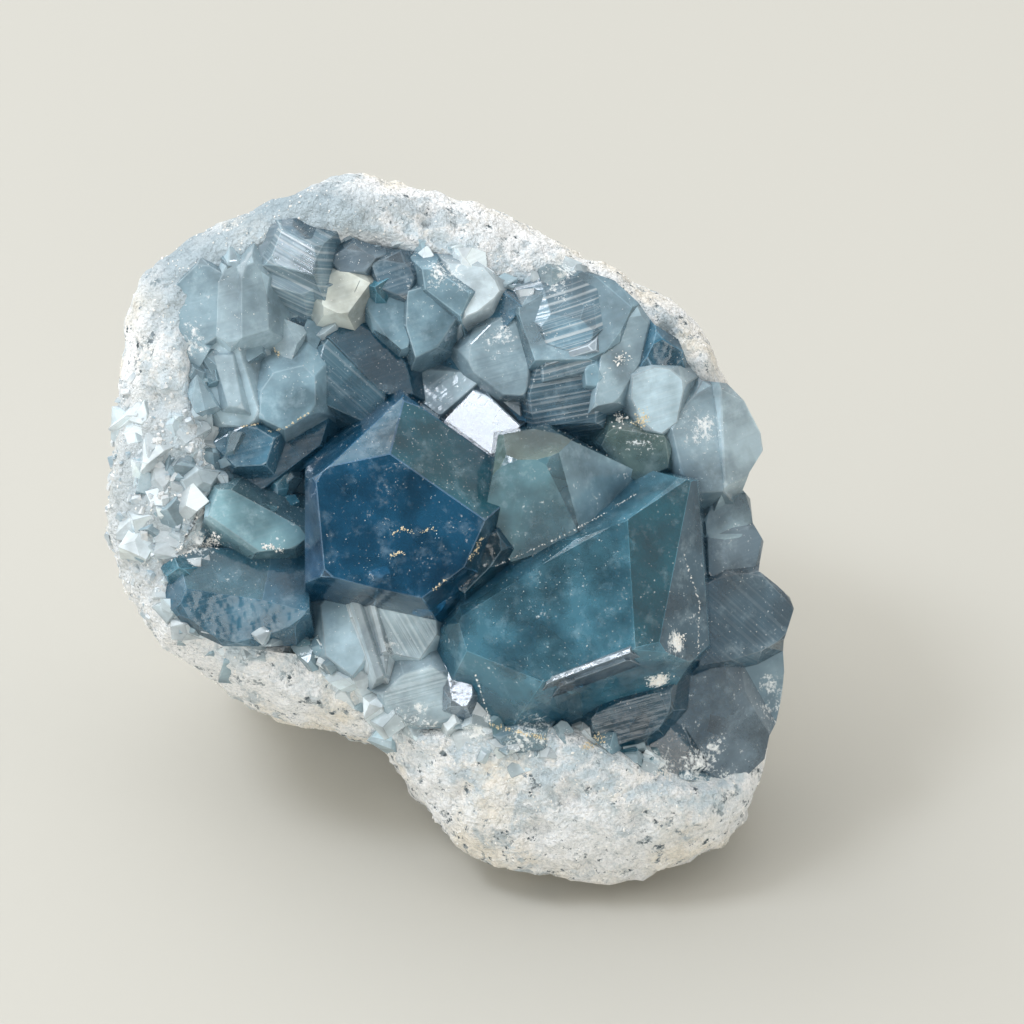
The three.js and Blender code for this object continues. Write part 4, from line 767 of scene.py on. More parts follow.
def bed_mesh():
    """The bed that the crystals stand in: a dish of small crystals grown together."""
    columns = len(STATIONS) * BED_COLUMNS_PER_STATION
    points = [BED_MIDDLE]
    for share in BED_SHARES:
        for c in range(columns):
            points.append(bed_point(c / BED_COLUMNS_PER_STATION, share))
    points = np.array(points)
    points[:, 2] += BED_ROUGHNESS * noise(points / BED_GRAIN + 40)
    rim = points[-columns:] * (BED_TAPER, BED_TAPER, 0)
    points = np.concatenate([points, rim + (0, 0, BED_FOOT), [[*BED_MIDDLE[:2], BED_FOOT]]])
    rows = len(BED_SHARES) + 1
    faces = []
    for c in range(columns):
        after = (c + 1) % columns
        faces.append((0, 1 + c, 1 + after))
        for r in range(rows - 1):
            near, far = 1 + r * columns, 1 + (r + 1) * columns
            faces.append((near + c, far + c, far + after, near + after))
        last = 1 + (rows - 1) * columns
        faces.append((len(points) - 1, last + after, last + c))
    return crystal_mesh("bed", (points, faces, [None] * len(faces)), "sky", 0)


def prism_faces(count):
    """The faces of a prism whose lower corners come before its upper ones."""
    walls = [(i, (i + 1) % count, count + (i + 1) % count, count + i) for i in range(count)]
    return [tuple(range(count - 1, -1, -1)), tuple(range(count, 2 * count))] + walls


def edge_mesh():
    """A straight-walled mould that the crust is cut to."""
    points = [(u, v, w) for w in MOULD_REACH for u, v in reversed(CRUST_EDGE)]
    faces = prism_faces(len(CRUST_EDGE))
    return crystal_mesh("edge", (points, faces, [None] * len(faces)), "pale", 0)


def make_plain(piece):
    """Leaves a piece the plain mesh that its modifiers give it."""
    graph = bpy.context.evaluated_depsgraph_get()
    plain = bpy.data.meshes.new_from_object(piece.evaluated_get(graph))
    piece.modifiers.clear()
    piece.data = plain


def cut_to_plain_mesh(piece, operation, others):
    """Joins a piece with other pieces or cuts it to them, and leaves it a plain mesh."""
    group = bpy.data.collections.new("others")
    for other in others:
        group.objects.link(other)
    change = piece.modifiers.new("cut", "BOOLEAN")
    change.operation = operation
    change.solver = "MANIFOLD"
    change.operand_type = "COLLECTION"
    change.collection = group
    make_plain(piece)
    bpy.data.collections.remove(group)
    for other in others:
        bpy.data.objects.remove(other)


def healed_crack(draw, middle, radius, facing):
    """A flat air-filled crack inside a crystal, which shows as a silvery veil."""
    normal = unit(np.array(facing))
    across, upright = directions_on(normal)
    count = draw.randint(4, 7)
    angles = sorted(2 * math.pi * (n + 0.7 * draw.random()) / count for n in range(count))
    rim = [middle + radius * draw.uniform(0.55, 1) * (math.cos(a) * across + math.sin(a) * upright)
           for a in angles]
    points = [corner + normal * CRACK_WIDTH * side for side in (-0.5, 0.5) for corner in rim]
    faces = prism_faces(count)
    return crystal_mesh("crack", (points, faces, [None] * len(faces)), "silver", 0)


def healed_cracks():
    """Cracks scattered through every large crystal."""
    draw = random.Random(12)
    cracks = []
    for _, _, face, corners, _ in CRYSTALS:
        spread = max(math.dist(face[:2], corner[:2]) for corner in corners)
        for _ in range(round(spread * CRACKS_PER_MM)):
            corner = draw.choice(corners)
            share = draw.random() ** 0.7
            middle = np.array([face[0] + (corner[0] - face[0]) * share,
                               face[1] + (corner[1] - face[1]) * share,
                               face[2] - draw.uniform(*CRACK_DEPTHS) * spread])
            facing = (draw.uniform(-0.8, 0.8), draw.uniform(-0.8, 0.8), 1)
            if draw.random() < UPRIGHT_CRACKS:
                facing = (draw.uniform(-1, 1), draw.uniform(-1, 1), 0.35)
            radius = spread * draw.uniform(*CRACK_SIZES)
            cracks.append(new_object("crack", healed_crack(draw, middle, radius, facing)))
    return cracks


# Painted shade: the crust is darkened where it lies deep between neighbouring crystals, measured from the
# shape round each point.
GAP_WIDTH = 2.2  # between neighbouring crystals
GAP_DIRECTIONS = 8  # how many ways round each point its neighbours are felt for
DARKEST_PAINTED_SHADE = 0.65  # how much of the painted shade in the gaps shows at most


def painted_shade_depths(mesh):
    """How deep each point of the crust lies between the crystals round it, from 0 to 1: how strongly the
    painted shade in the gaps darkens it.
    """
    tree = shape_tree(mesh)
    depths = []
    for u, v, w in points_of(mesh):
        rises = [0]
        for n in range(GAP_DIRECTIONS):
            angle = 2 * math.pi * n / GAP_DIRECTIONS
            above = (u + GAP_WIDTH * math.cos(angle), v + GAP_WIDTH * math.sin(angle), CLEAR_OF_FACE)
            top = tree.ray_cast(above, (0, 0, -1))[0]
            if top:
                rises.append(min(max(top.z - w, 0), 2 * GAP_WIDTH))
        depths.append(min(sum(rises) / len(rises) / GAP_WIDTH, DARKEST_PAINTED_SHADE))
    return depths


def crystal_crust():
    """All the crystals grown together, as one piece."""
    draw = random.Random(5)
    grown = []
    for name, tint, face, corners, cuts in CRYSTALS:
        sides, tints = sides_of(face, corners, cuts)
        solid = solid_between(sides + chipped_corners(draw, sides), tints)
        shortest = min(math.dist(a[:2], b[:2]) for a, b in zip(corners, corners[1:] + corners[:1]))
        wear = min(EDGE_WEAR, MOST_WEAR * shortest)
        grown.append(new_object("crystal", crystal_mesh(name, solid, tint, wear)))
    for _ in range(DRUSE_COUNT):
        middle = bed_point(draw.random() * len(STATIONS), DRUSE_BAND[0] + DRUSE_BAND[1] * draw.random())
        size = DRUSE_SIZES[0] + (DRUSE_SIZES[1] - DRUSE_SIZES[0]) * draw.random() ** 2
        block = leaning_block(draw, middle, size, draw.choice(DRUSE_TINTS))
        grown.append(new_object("druse", block))
    crust = new_object("crystals", bed_mesh())
    cut_to_plain_mesh(crust, "UNION", grown)
    cut_to_plain_mesh(crust, "INTERSECT", [new_object("edge", edge_mesh())])
    cut_to_plain_mesh(crust, "DIFFERENCE", healed_cracks())
    mesh = crust.data
    mesh.attributes.new("painted_gap_shade", "FLOAT", "POINT").data.foreach_set("value", painted_shade_depths(mesh))
    put_in_place(mesh)
    upward = [max(0.0, face.normal.z) ** 1.5 * draw.random() for face in mesh.polygons]
    mesh.attributes.new("dusty", "FLOAT", "FACE").data.foreach_set("value", upward)
    return crust

# ------------------------------------------------------------------ crumbs, chips and dust
def chip_shapes(name, seed, count, sides_each):
    """A few small broken stones to choose from, one millimetre across, out of sight."""
    draw = random.Random(seed)
    group = bpy.data.collections.new(name)
    for _ in range(count):
        stretch = np.array([draw.uniform(0.9, 1.4), draw.uniform(0.6, 1), draw.uniform(0.3, 0.7)])
        sides = []
        for _ in range(sides_each):
            direction = unit(np.array([draw.gauss(0, 1) for _ in range(3)]) / stretch)
            sides.append((direction, 0.5 * draw.uniform(0.7, 1)))
        for axis in range(3):
            for sense in (1, -1):
                sides.append((np.eye(3)[axis] * sense, 0.5 * stretch[axis]))
        points, faces, _ = solid_between(sides)
        group.objects.link(bpy.data.objects.new(name, mesh_of(name, points * MM, faces)))
    return group


def scattered(name, source, material, shapes, sizes, seed, per_square_mm=0, weight=None):
    """Small stones as one plain mesh: strewn over a surface where a weight says so, or else one at
    each of the source's points."""
    tree = bpy.data.node_groups.new(name, "GeometryNodeTree")
    sockets = {}
    tree.interface.new_socket("Source", in_out="INPUT", socket_type="NodeSocketGeometry")
    for label, kind in (("Per square metre", "Float"), ("Smallest", "Float"), ("Largest", "Float"),
                        ("Seed", "Int")):
        socket = tree.interface.new_socket(label, in_out="INPUT", socket_type="NodeSocket" + kind)
        sockets[label] = socket.identifier
    tree.interface.new_socket("Stones", in_out="OUTPUT", socket_type="NodeSocketGeometry")
    given = put(tree, "NodeGroupInput").outputs
    out = put(tree, "NodeGroupOutput")
    if weight:
        weighed = put(tree, "GeometryNodeInputNamedAttribute", {"data_type": "FLOAT"}, {"Name": weight})
        density = put(tree, "ShaderNodeMath", {"operation": "MULTIPLY"}, {
            0: weighed.outputs["Attribute"], 1: given["Per square metre"]})
        spots = put(tree, "GeometryNodeDistributePointsOnFaces", {}, {
            "Mesh": given["Source"], "Density": density.outputs[0], "Seed": given["Seed"]})
    else:
        spots = put(tree, "GeometryNodeMeshToPoints", {}, {"Mesh": given["Source"]})
    choice = put(tree, "GeometryNodeCollectionInfo", {}, {
        "Collection": shapes, "Separate Children": True, "Reset Children": True})
    turn = put(tree, "FunctionNodeRandomValue", {"data_type": "FLOAT_VECTOR"}, {
        "Seed": given["Seed"], 1: (2 * math.pi, 2 * math.pi, 2 * math.pi)})
    even = put(tree, "FunctionNodeRandomValue", {"data_type": "FLOAT"}, {"Seed": given["Seed"]})
    mostly_small = put(tree, "ShaderNodeMath", {"operation": "POWER"}, {0: even.outputs[1], 1: 2.0})
    size = put(tree, "ShaderNodeMapRange", {}, {
        "Value": mostly_small.outputs[0], "To Min": given["Smallest"], "To Max": given["Largest"]})
    stones = put(tree, "GeometryNodeInstanceOnPoints", {}, {
        "Points": spots.outputs[0], "Instance": choice.outputs[0], "Pick Instance": True,
        "Rotation": turn.outputs[0], "Scale": size.outputs[0]})
    real = put(tree, "GeometryNodeRealizeInstances", {}, {"Geometry": stones.outputs[0]})
    painted = put(tree, "GeometryNodeSetMaterial", {}, {
        "Geometry": real.outputs[0], "Material": material})
    tree.links.new(painted.outputs[0], out.inputs[0])
    piece = new_object(name, source.copy())
    grow = piece.modifiers.new("grow", "NODES")
    grow.node_group = tree
    grow[sockets["Per square metre"]] = per_square_mm / MM ** 2
    grow[sockets["Smallest"]], grow[sockets["Largest"]] = sizes
    grow[sockets["Seed"]] = seed
    make_plain(piece)
    bpy.data.node_groups.remove(tree)
    return piece


# Patches and seams of grit that lie on the crystals: a radius or half width, then the points (u, v)
# of the open face that each runs along.
WHITE_GRIT = [
    (0.7, [(27.5, -14.4), (28, -13.2)]), (0.8, [(24.6, -19), (26.2, -18.4)]), (0.8, [(20.8, 21.3)]),
    (0.8, [(20.5, 14)]),
    (0.8, [(-37, -3.4), (-33, -2), (-29.5, -1.2)]), (0.4, [(-24, -1.9), (-21.5, -2.6)]),
    (0.6, [(24.5, -30), (27, -31)]), (0.12, [(2.6, -18), (3.6, -21.4), (4.4, -24)])]
FINE_GRIT = [
    (0.12, [(22.8, 4.6), (18, 1.6), (12, -1.4), (5, -4.5)]),
    (0.12, [(28.4, -3), (30.4, -9), (30.2, -16)])]
CREAM_GRIT = [
    (0.3, [(3.4, -1), (2.8, -2.4), (1.8, -3.6)]), (0.2, [(-0.8, -6), (-2.6, -7.4)]),
    (0.14, [(-23.6, 12.3), (-21.4, 12.7), (-17.8, 15)]), (0.14, [(-27, 12.9), (-24.4, 13.3)]),
    (0.3, [(-22.9, 22.7), (-22.2, 21.9)]),
    (0.2, [(-7.8, -0.6), (-6.4, 0.1), (-5, -0.3)]), (0.2, [(-4.2, -0.4), (-3, 0.1), (-2.2, -0.2)]),
    (0.2, [(-8.2, -3.6), (-7, -2.8), (-6, -3)]), (1, [(23.6, 14.2), (23, 13.4)]),
    (0.7, [(18.4, -25.8), (16.2, -27)]), (0.3, [(11.5, -26), (6, -24.8), (3.2, -24)])]
GRIT_PER_MM2 = 26
# Where small crystals stand along the edge of the crust, how thickly, and in how wide a band.
RIM_CRYSTAL_RUNS = [
    [(-32, 10), (-34.6, 18)],
    [(-8, 35.4), (-4, 35), (2, 34.4), (5.8, 31.6), (8, 30.8), (12, 32.2), (16, 32.8), (20, 31.4)],
    [(24.2, -30.9), (23.6, -27.6), (19.5, -28), (16.6, -25.6), (11.4, -27.8), (5, -28), (4.6, -24.8),
     (-5, -25), (-9.4, -23.6), (-9.8, -20.6), (-13.6, -18.6), (-17, -16), (-20, -14.6), (-29, -14.6),
     (-33.6, -12.4), (-36.6, -8.6), (-37, -4.6)]]
RIM_CRYSTALS_PER_MM2 = 0.14
RIM_CRYSTAL_BAND = 1.8
RIM_CRYSTAL_SIZES = (1.5, 4.6)
RIM_CRYSTAL_DEPTH = 0.7  # how deep their middles lie in the rind, of their size
RIM_CRYSTALS_ABOVE = -8  # none stands lower than this on the flanks
RIM_CRYSTAL_TINTS = ["frost", "haze", "white", "white"]
BROKEN_RIM_CRYSTALS = 66
BROKEN_RIM_SIZES = (2, 5.6)
BROKEN_RIM_SPREAD = (0.5, 0.9)  # of the reach of the broken stretch


def looking_down(surfaces):
    """A function that tells how far out of the open face the stone stands at (u, v), and minus
    infinity beside the stone."""
    trees = [shape_tree(surface) for surface in surfaces]
    inwards = Vector(placed((0, 0, -1))[0] - placed((0, 0, 0))[0]).normalized()

    def height_at(u, v):
        above = Vector(placed((u, v, CLEAR_OF_FACE))[0])
        reaches = [tree.ray_cast(above, inwards)[3] for tree in trees]
        return CLEAR_OF_FACE - min([reach for reach in reaches if reach] or [math.inf]) / MM

    return height_at


def along_path(draw, path, reach, per_mm2):
    """Random places (u, v) within reach of a path."""
    for here, there in zip(path, path[1:] or path):
        area = 2 * reach * math.dist(here, there) + 3 * reach * reach  # with the round ends
        for _ in range(round(per_mm2 * area)):
            share = draw.random()
            yield (here[0] + (there[0] - here[0]) * share + draw.gauss(0, reach / 2),
                   here[1] + (there[1] - here[1]) * share + draw.gauss(0, reach / 2))


def grit_spots(name, patches, height_at, seed):
    """Points on the stone under each patch."""
    draw = random.Random(seed)
    spots = []
    for reach, path in patches:
        for u, v in along_path(draw, path, reach, GRIT_PER_MM2):
            w = height_at(u, v)
            if w > -math.inf:
                spots.append(placed((u, v, w))[0])
    return mesh_of(name, spots, [])


def rim_crystals(height_at):
    """Small pale crystals that stand in the rind, thickest where the rim is broken."""
    draw = random.Random(31)
    spots = []
    for run in RIM_CRYSTAL_RUNS:
        spots += [(u, v, draw.uniform(*RIM_CRYSTAL_SIZES))
                  for u, v in along_path(draw, run, RIM_CRYSTAL_BAND, RIM_CRYSTALS_PER_MM2)]
    for _ in range(BROKEN_RIM_CRYSTALS):
        across, along = (middle + draw.uniform(-spread, spread) * reach for middle, spread, reach
                         in zip(BROKEN_RIM_MIDDLE, BROKEN_RIM_SPREAD, BROKEN_RIM_REACH))
        spots.append((across, along, draw.uniform(*BROKEN_RIM_SIZES)))
    grown = []
    for u, v, size in spots:
        w = height_at(u, v)
        if w > RIM_CRYSTALS_ABOVE:
            middle = np.array([u, v, w - RIM_CRYSTAL_DEPTH * size])
            block = leaning_block(draw, middle, size, draw.choice(RIM_CRYSTAL_TINTS))
            grown.append(new_object("rim_crystals", block))
    piece = grown.pop(0)
    cut_to_plain_mesh(piece, "UNION", grown)
    put_in_place(piece.data)
    return piece

# ------------------------------------------------------------------ the materials
COLOURS = {"data_type": "RGBA"}  # a mix node that blends two colours,
FACTOR, FIRST, SECOND, BLEND = 0, 6, 7, 2  # and where its sockets are
CELESTITE_IOR = 1.62
BLUE_PER_METRE = 32.0  # how strongly the depth of a crystal takes the other colours out of the light
CLOUD_SIZE = 6  # across the milky clouds in the crystals
VEIL_SIZE = 2.6  # across the whitish veils in them
RIPPLE_SIZE = 1.4  # across the shallow ripples of their faces
STREAK_SPACING = 0.45  # between growth lines
FROST_GRAIN = 0.5  # across the grains of the white frost, drawn coarser than the real ones to show
FROST_DRIFT = 3  # across the drifts that the frost thickens to
CHIP_PATCH = 3  # across the white and clear parts of the broken chips
CREAMY_PATCH = 11  # across the cream stains of the chalk
BLUISH_PATCH = 6  # across its blue-grey stains
RELIEF_SWELL_SIZE = 1.6  # across the swellings of the fine relief; the dark grains show most where it is low
COARSE_GRAIN = 1.3
FINE_GRAIN = 0.5
SUGARY_GRAIN = 0.5  # across the sugary grains, drawn coarser than the real ones to show; their darkening is partly painted shade
GLASSY_PATCH = 2.2  # across the glassy parts beside the crystals
GLASS_VEINS = 3  # between the white veins in those
# Where the crystals are frosted: the middle (u, v) of each patch, how far the frost reaches, and how
# thick it is there.
FROSTED_PATCHES = [
    (6.4, 24.4, 4.5, 1.1), (13, 32, 4.5, 1), (24, 11.6, 3, 1), (31, 12.4, 4.5, 0.8), (38, 16, 4, 1),
    (27.6, -14.2, 2.2, 2.4), (25.2, -18.8, 2.4, 2.4), (31, -30, 7, 1.5), (25.8, -29.8, 4, 1.4),
    (40, -22, 4.5, 1), (16.4, -27.6, 4, 1.5), (9, -26.4, 4.5, 1.5), (2.6, -25, 3.5, 1.5),
    (-5, -24, 4, 1.3), (-8.6, -14.6, 3, 1), (-33, -2, 5, 1.8), (-33, 24, 5, 1), (-2, 32.4, 5, 1)]
FROST_FULL_TO = 0.1  # of its reach
# The same for the pale mist of fine bubbles that hides the crystals and thins the painted shade between
# them. The last patch, under the big navy block, is painted light where that block shades the crystals.
MIST_AND_PAINTED_LIGHT_PATCHES = [(-27, 28, 15, 1), (-32, 17, 9, 1), (38, 12, 9, 1), (-9.5, -13.5, 7.5, 1)]
MIST_FULL_TO = 0.3  # of its reach


def start_material(name):
    material = bpy.data.materials.new(name)
    material.use_nodes = True
    tree = material.node_tree
    tree.nodes.clear()
    return material, tree


def thickness_of(tree, place, height_at, patches, full_to, fade):
    """How thick the thickest of the patches round each place is."""
    thickest = 0.0
    for u, v, reach, thickness in patches:
        away = put(tree, "ShaderNodeVectorMath", {"operation": "DISTANCE"}, {
            0: place, 1: placed((u, v, height_at(u, v)))[0]})
        near = put(tree, "ShaderNodeMapRange", {"interpolation_type": fade}, {
            "Value": away.outputs["Value"], "From Min": full_to * reach * MM, "From Max": reach * MM,
            "To Min": thickness, "To Max": 0.0})
        thickest = put(tree, "ShaderNodeMath", {"operation": "MAXIMUM"}, {
            0: near.outputs[0], 1: thickest}).outputs[0]
    return thickest


def frosting(tree, place, height_at):
    """How white the frost is at each place, from 0 to 1: grainy patches, and a few specks anywhere."""
    thickest = thickness_of(tree, place, height_at, FROSTED_PATCHES, FROST_FULL_TO, "LINEAR")
    grain = put(tree, "ShaderNodeTexNoise", {}, {
        "Vector": place, "Scale": 1 / (FROST_GRAIN * MM), "Detail": 3.0, "Roughness": 0.7})
    drift = put(tree, "ShaderNodeTexNoise", {}, {
        "Vector": place, "Scale": 1 / (FROST_DRIFT * MM), "Detail": 3.0, "Roughness": 0.65})
    total = put(tree, "ShaderNodeMath", {"operation": "MULTIPLY_ADD"}, {
        0: thickest, 1: 0.26, 2: drift.outputs["Fac"]})
    total = put(tree, "ShaderNodeMath", {"operation": "MULTIPLY_ADD"}, {
        0: grain.outputs["Fac"], 1: 1.2, 2: total.outputs[0]})
    return put(tree, "ShaderNodeMapRange", {}, {
        "Value": total.outputs[0], "From Min": 1.33, "From Max": 1.58}).outputs[0]


def celestite(height_at):
    """Strontium sulphate crystal: glassy, clear to milky, the bluer the deeper one looks in, and
    frosted white in patches. Painted shade darkens it where it lies low between crystals, and a pale
    mist lightens it in patches, one of them painted light."""
    material, tree = start_material("celestite crystal")
    out = put(tree, "ShaderNodeOutputMaterial")
    tint = put(tree, "ShaderNodeAttribute", {"attribute_name": "tint"})
    place = put(tree, "ShaderNodeTexCoord").outputs["Object"]
    cloud = put(tree, "ShaderNodeTexNoise", {}, {
        "Vector": place, "Scale": 1 / (CLOUD_SIZE * MM), "Detail": 4.0, "Roughness": 0.52})
    deep = put(tree, "ShaderNodeMapRange", {}, {
        "Value": cloud.outputs["Fac"], "From Min": 0.36, "From Max": 0.6})
    contrast = put(tree, "ShaderNodeMapRange", {}, {
        "Value": tint.outputs["Alpha"], "From Min": 0.3, "From Max": 0.8, "To Min": 0.34, "To Max": 0.12})
    body = put(tree, "ShaderNodeMix", {**COLOURS, "blend_type": "MULTIPLY"}, {
        FACTOR: contrast.outputs[0], FIRST: tint.outputs["Color"], SECOND: deep.outputs[0]})
    veil = put(tree, "ShaderNodeTexNoise", {}, {
        "Vector": place, "Scale": 1 / (VEIL_SIZE * MM), "Detail": 5.0, "Roughness": 0.72})
    veiled = put(tree, "ShaderNodeMapRange", {}, {
        "Value": veil.outputs["Fac"], "From Min": 0.52, "From Max": 0.8, "To Max": 0.4})
    body = put(tree, "ShaderNodeMix", COLOURS, {
        FACTOR: veiled.outputs[0], FIRST: body.outputs[BLEND], SECOND: linear("#d6e9f0")})

    growth = put(tree, "ShaderNodeAttribute", {"attribute_name": "growth"})
    lines = put(tree, "ShaderNodeTexNoise", {"noise_dimensions": "1D"}, {
        "W": growth.outputs["Fac"], "Scale": 1 / STREAK_SPACING, "Detail": 2.0})
    streaky = put(tree, "ShaderNodeAttribute", {"attribute_name": "streaky"})
    streaks = put(tree, "ShaderNodeMath", {"operation": "MULTIPLY"}, {
        0: lines.outputs["Fac"], 1: streaky.outputs["Fac"]})
    bright_line = put(tree, "ShaderNodeMapRange", {}, {
        "Value": lines.outputs["Fac"], "From Min": 0.5, "From Max": 0.66, "To Max": 0.7})
    bright_line = put(tree, "ShaderNodeMath", {"operation": "MULTIPLY"}, {
        0: bright_line.outputs[0], 1: streaky.outputs["Fac"]})
    body = put(tree, "ShaderNodeMix", COLOURS, {
        FACTOR: bright_line.outputs[0], FIRST: body.outputs[BLEND], SECOND: linear("#e6f0f4")})

    mist = thickness_of(tree, place, height_at, MIST_AND_PAINTED_LIGHT_PATCHES, MIST_FULL_TO, "SMOOTHSTEP")
    # Painted shade: the crystals are darkened to deep blue where they lie low between others, less so
    # under the mist.
    painted_gap_shade = put(tree, "ShaderNodeAttribute", {"attribute_name": "painted_gap_shade"})
    painted_gap_shade = put(tree, "ShaderNodeMath", {"operation": "MULTIPLY_ADD", "use_clamp": True}, {
        0: mist, 1: -0.6, 2: painted_gap_shade.outputs["Fac"]})
    body = put(tree, "ShaderNodeMix", COLOURS, {
        FACTOR: painted_gap_shade.outputs[0], FIRST: body.outputs[BLEND], SECOND: linear("#1d4c63")})
    # The mist paints the crystals paler; under the big navy block this is painted light.
    mist = put(tree, "ShaderNodeMath", {"operation": "MULTIPLY"}, {0: mist, 1: 0.45})
    body = put(tree, "ShaderNodeMix", COLOURS, {
        FACTOR: mist.outputs[0], FIRST: body.outputs[BLEND], SECOND: linear("#bcd2dc")})
    frost = frosting(tree, place, height_at)
    body = put(tree, "ShaderNodeMix", COLOURS, {
        FACTOR: frost, FIRST: body.outputs[BLEND], SECOND: linear("#f4f8f8")})

    milk = put(tree, "ShaderNodeMath", {"operation": "MULTIPLY_ADD"}, {
        0: deep.outputs[0], 1: 0.5, 2: 0.65})
    milk = put(tree, "ShaderNodeMath", {"operation": "MULTIPLY"}, {
        0: tint.outputs["Alpha"], 1: milk.outputs[0]})
    milk = put(tree, "ShaderNodeMath", {"operation": "MULTIPLY_ADD", "use_clamp": True}, {
        0: veiled.outputs[0], 1: 0.5, 2: milk.outputs[0]})
    milk = put(tree, "ShaderNodeMath", {"operation": "MAXIMUM"}, {0: milk.outputs[0], 1: frost})
    clearness = put(tree, "ShaderNodeMath", {"operation": "SUBTRACT"}, {0: 1.0, 1: milk.outputs[0]})
    ripples = put(tree, "ShaderNodeTexNoise", {}, {
        "Vector": place, "Scale": 1 / (RIPPLE_SIZE * MM), "Detail": 1.0, "Roughness": 0.5})
    relief = put(tree, "ShaderNodeMath", {"operation": "MULTIPLY_ADD"}, {
        0: streaks.outputs[0], 1: 6.0, 2: ripples.outputs["Fac"]})
    bump = put(tree, "ShaderNodeBump", {}, {
        "Height": relief.outputs[0], "Strength": 0.14, "Distance": 0.3 * MM})
    roughness = put(tree, "ShaderNodeMapRange", {}, {"Value": frost, "To Min": 0.08, "To Max": 0.6})
    skin = put(tree, "ShaderNodeBsdfPrincipled", {}, {
        "Base Color": body.outputs[BLEND], "Roughness": roughness.outputs[0], "IOR": CELESTITE_IOR,
        "Specular IOR Level": 0.36, "Transmission Weight": clearness.outputs[0],
        "Normal": bump.outputs[0]})
    depth = put(tree, "ShaderNodeVolumeAbsorption", {}, {
        "Color": linear("#5cc2dc"), "Density": BLUE_PER_METRE})
    tree.links.new(skin.outputs[0], out.inputs["Surface"])
    tree.links.new(depth.outputs[0], out.inputs["Volume"])
    return material


def chalk_dust(name, colour):
    """Chalk and calcite crumbs: matt and pale."""
    material, tree = start_material(name)
    out = put(tree, "ShaderNodeOutputMaterial")
    skin = put(tree, "ShaderNodeBsdfPrincipled", {}, {
        "Base Color": linear(colour), "Roughness": 0.7})
    tree.links.new(skin.outputs[0], out.inputs["Surface"])
    return material


def frosted_chips():
    """Broken crystal at the rim: pale, half clear, with glassy breaks."""
    material, tree = start_material("frosted crystal chips")
    out = put(tree, "ShaderNodeOutputMaterial")
    place = put(tree, "ShaderNodeTexCoord").outputs["Object"]
    patches = put(tree, "ShaderNodeTexNoise", {}, {
        "Vector": place, "Scale": 1 / (CHIP_PATCH * MM), "Detail": 3.0, "Roughness": 0.6})
    shades = put(tree, "ShaderNodeValToRGB", {}, {"Fac": patches.outputs["Fac"]})
    stops = shades.color_ramp.elements
    stops[0].position, stops[0].color = 0.35, linear("#b4cbd8")
    stops[1].position, stops[1].color = 0.6, linear("#f6f8f8")
    skin = put(tree, "ShaderNodeBsdfPrincipled", {}, {
        "Base Color": shades.outputs[0], "Roughness": 0.2, "IOR": CELESTITE_IOR,
        "Transmission Weight": 0.25})
    tree.links.new(skin.outputs[0], out.inputs["Surface"])
    return material


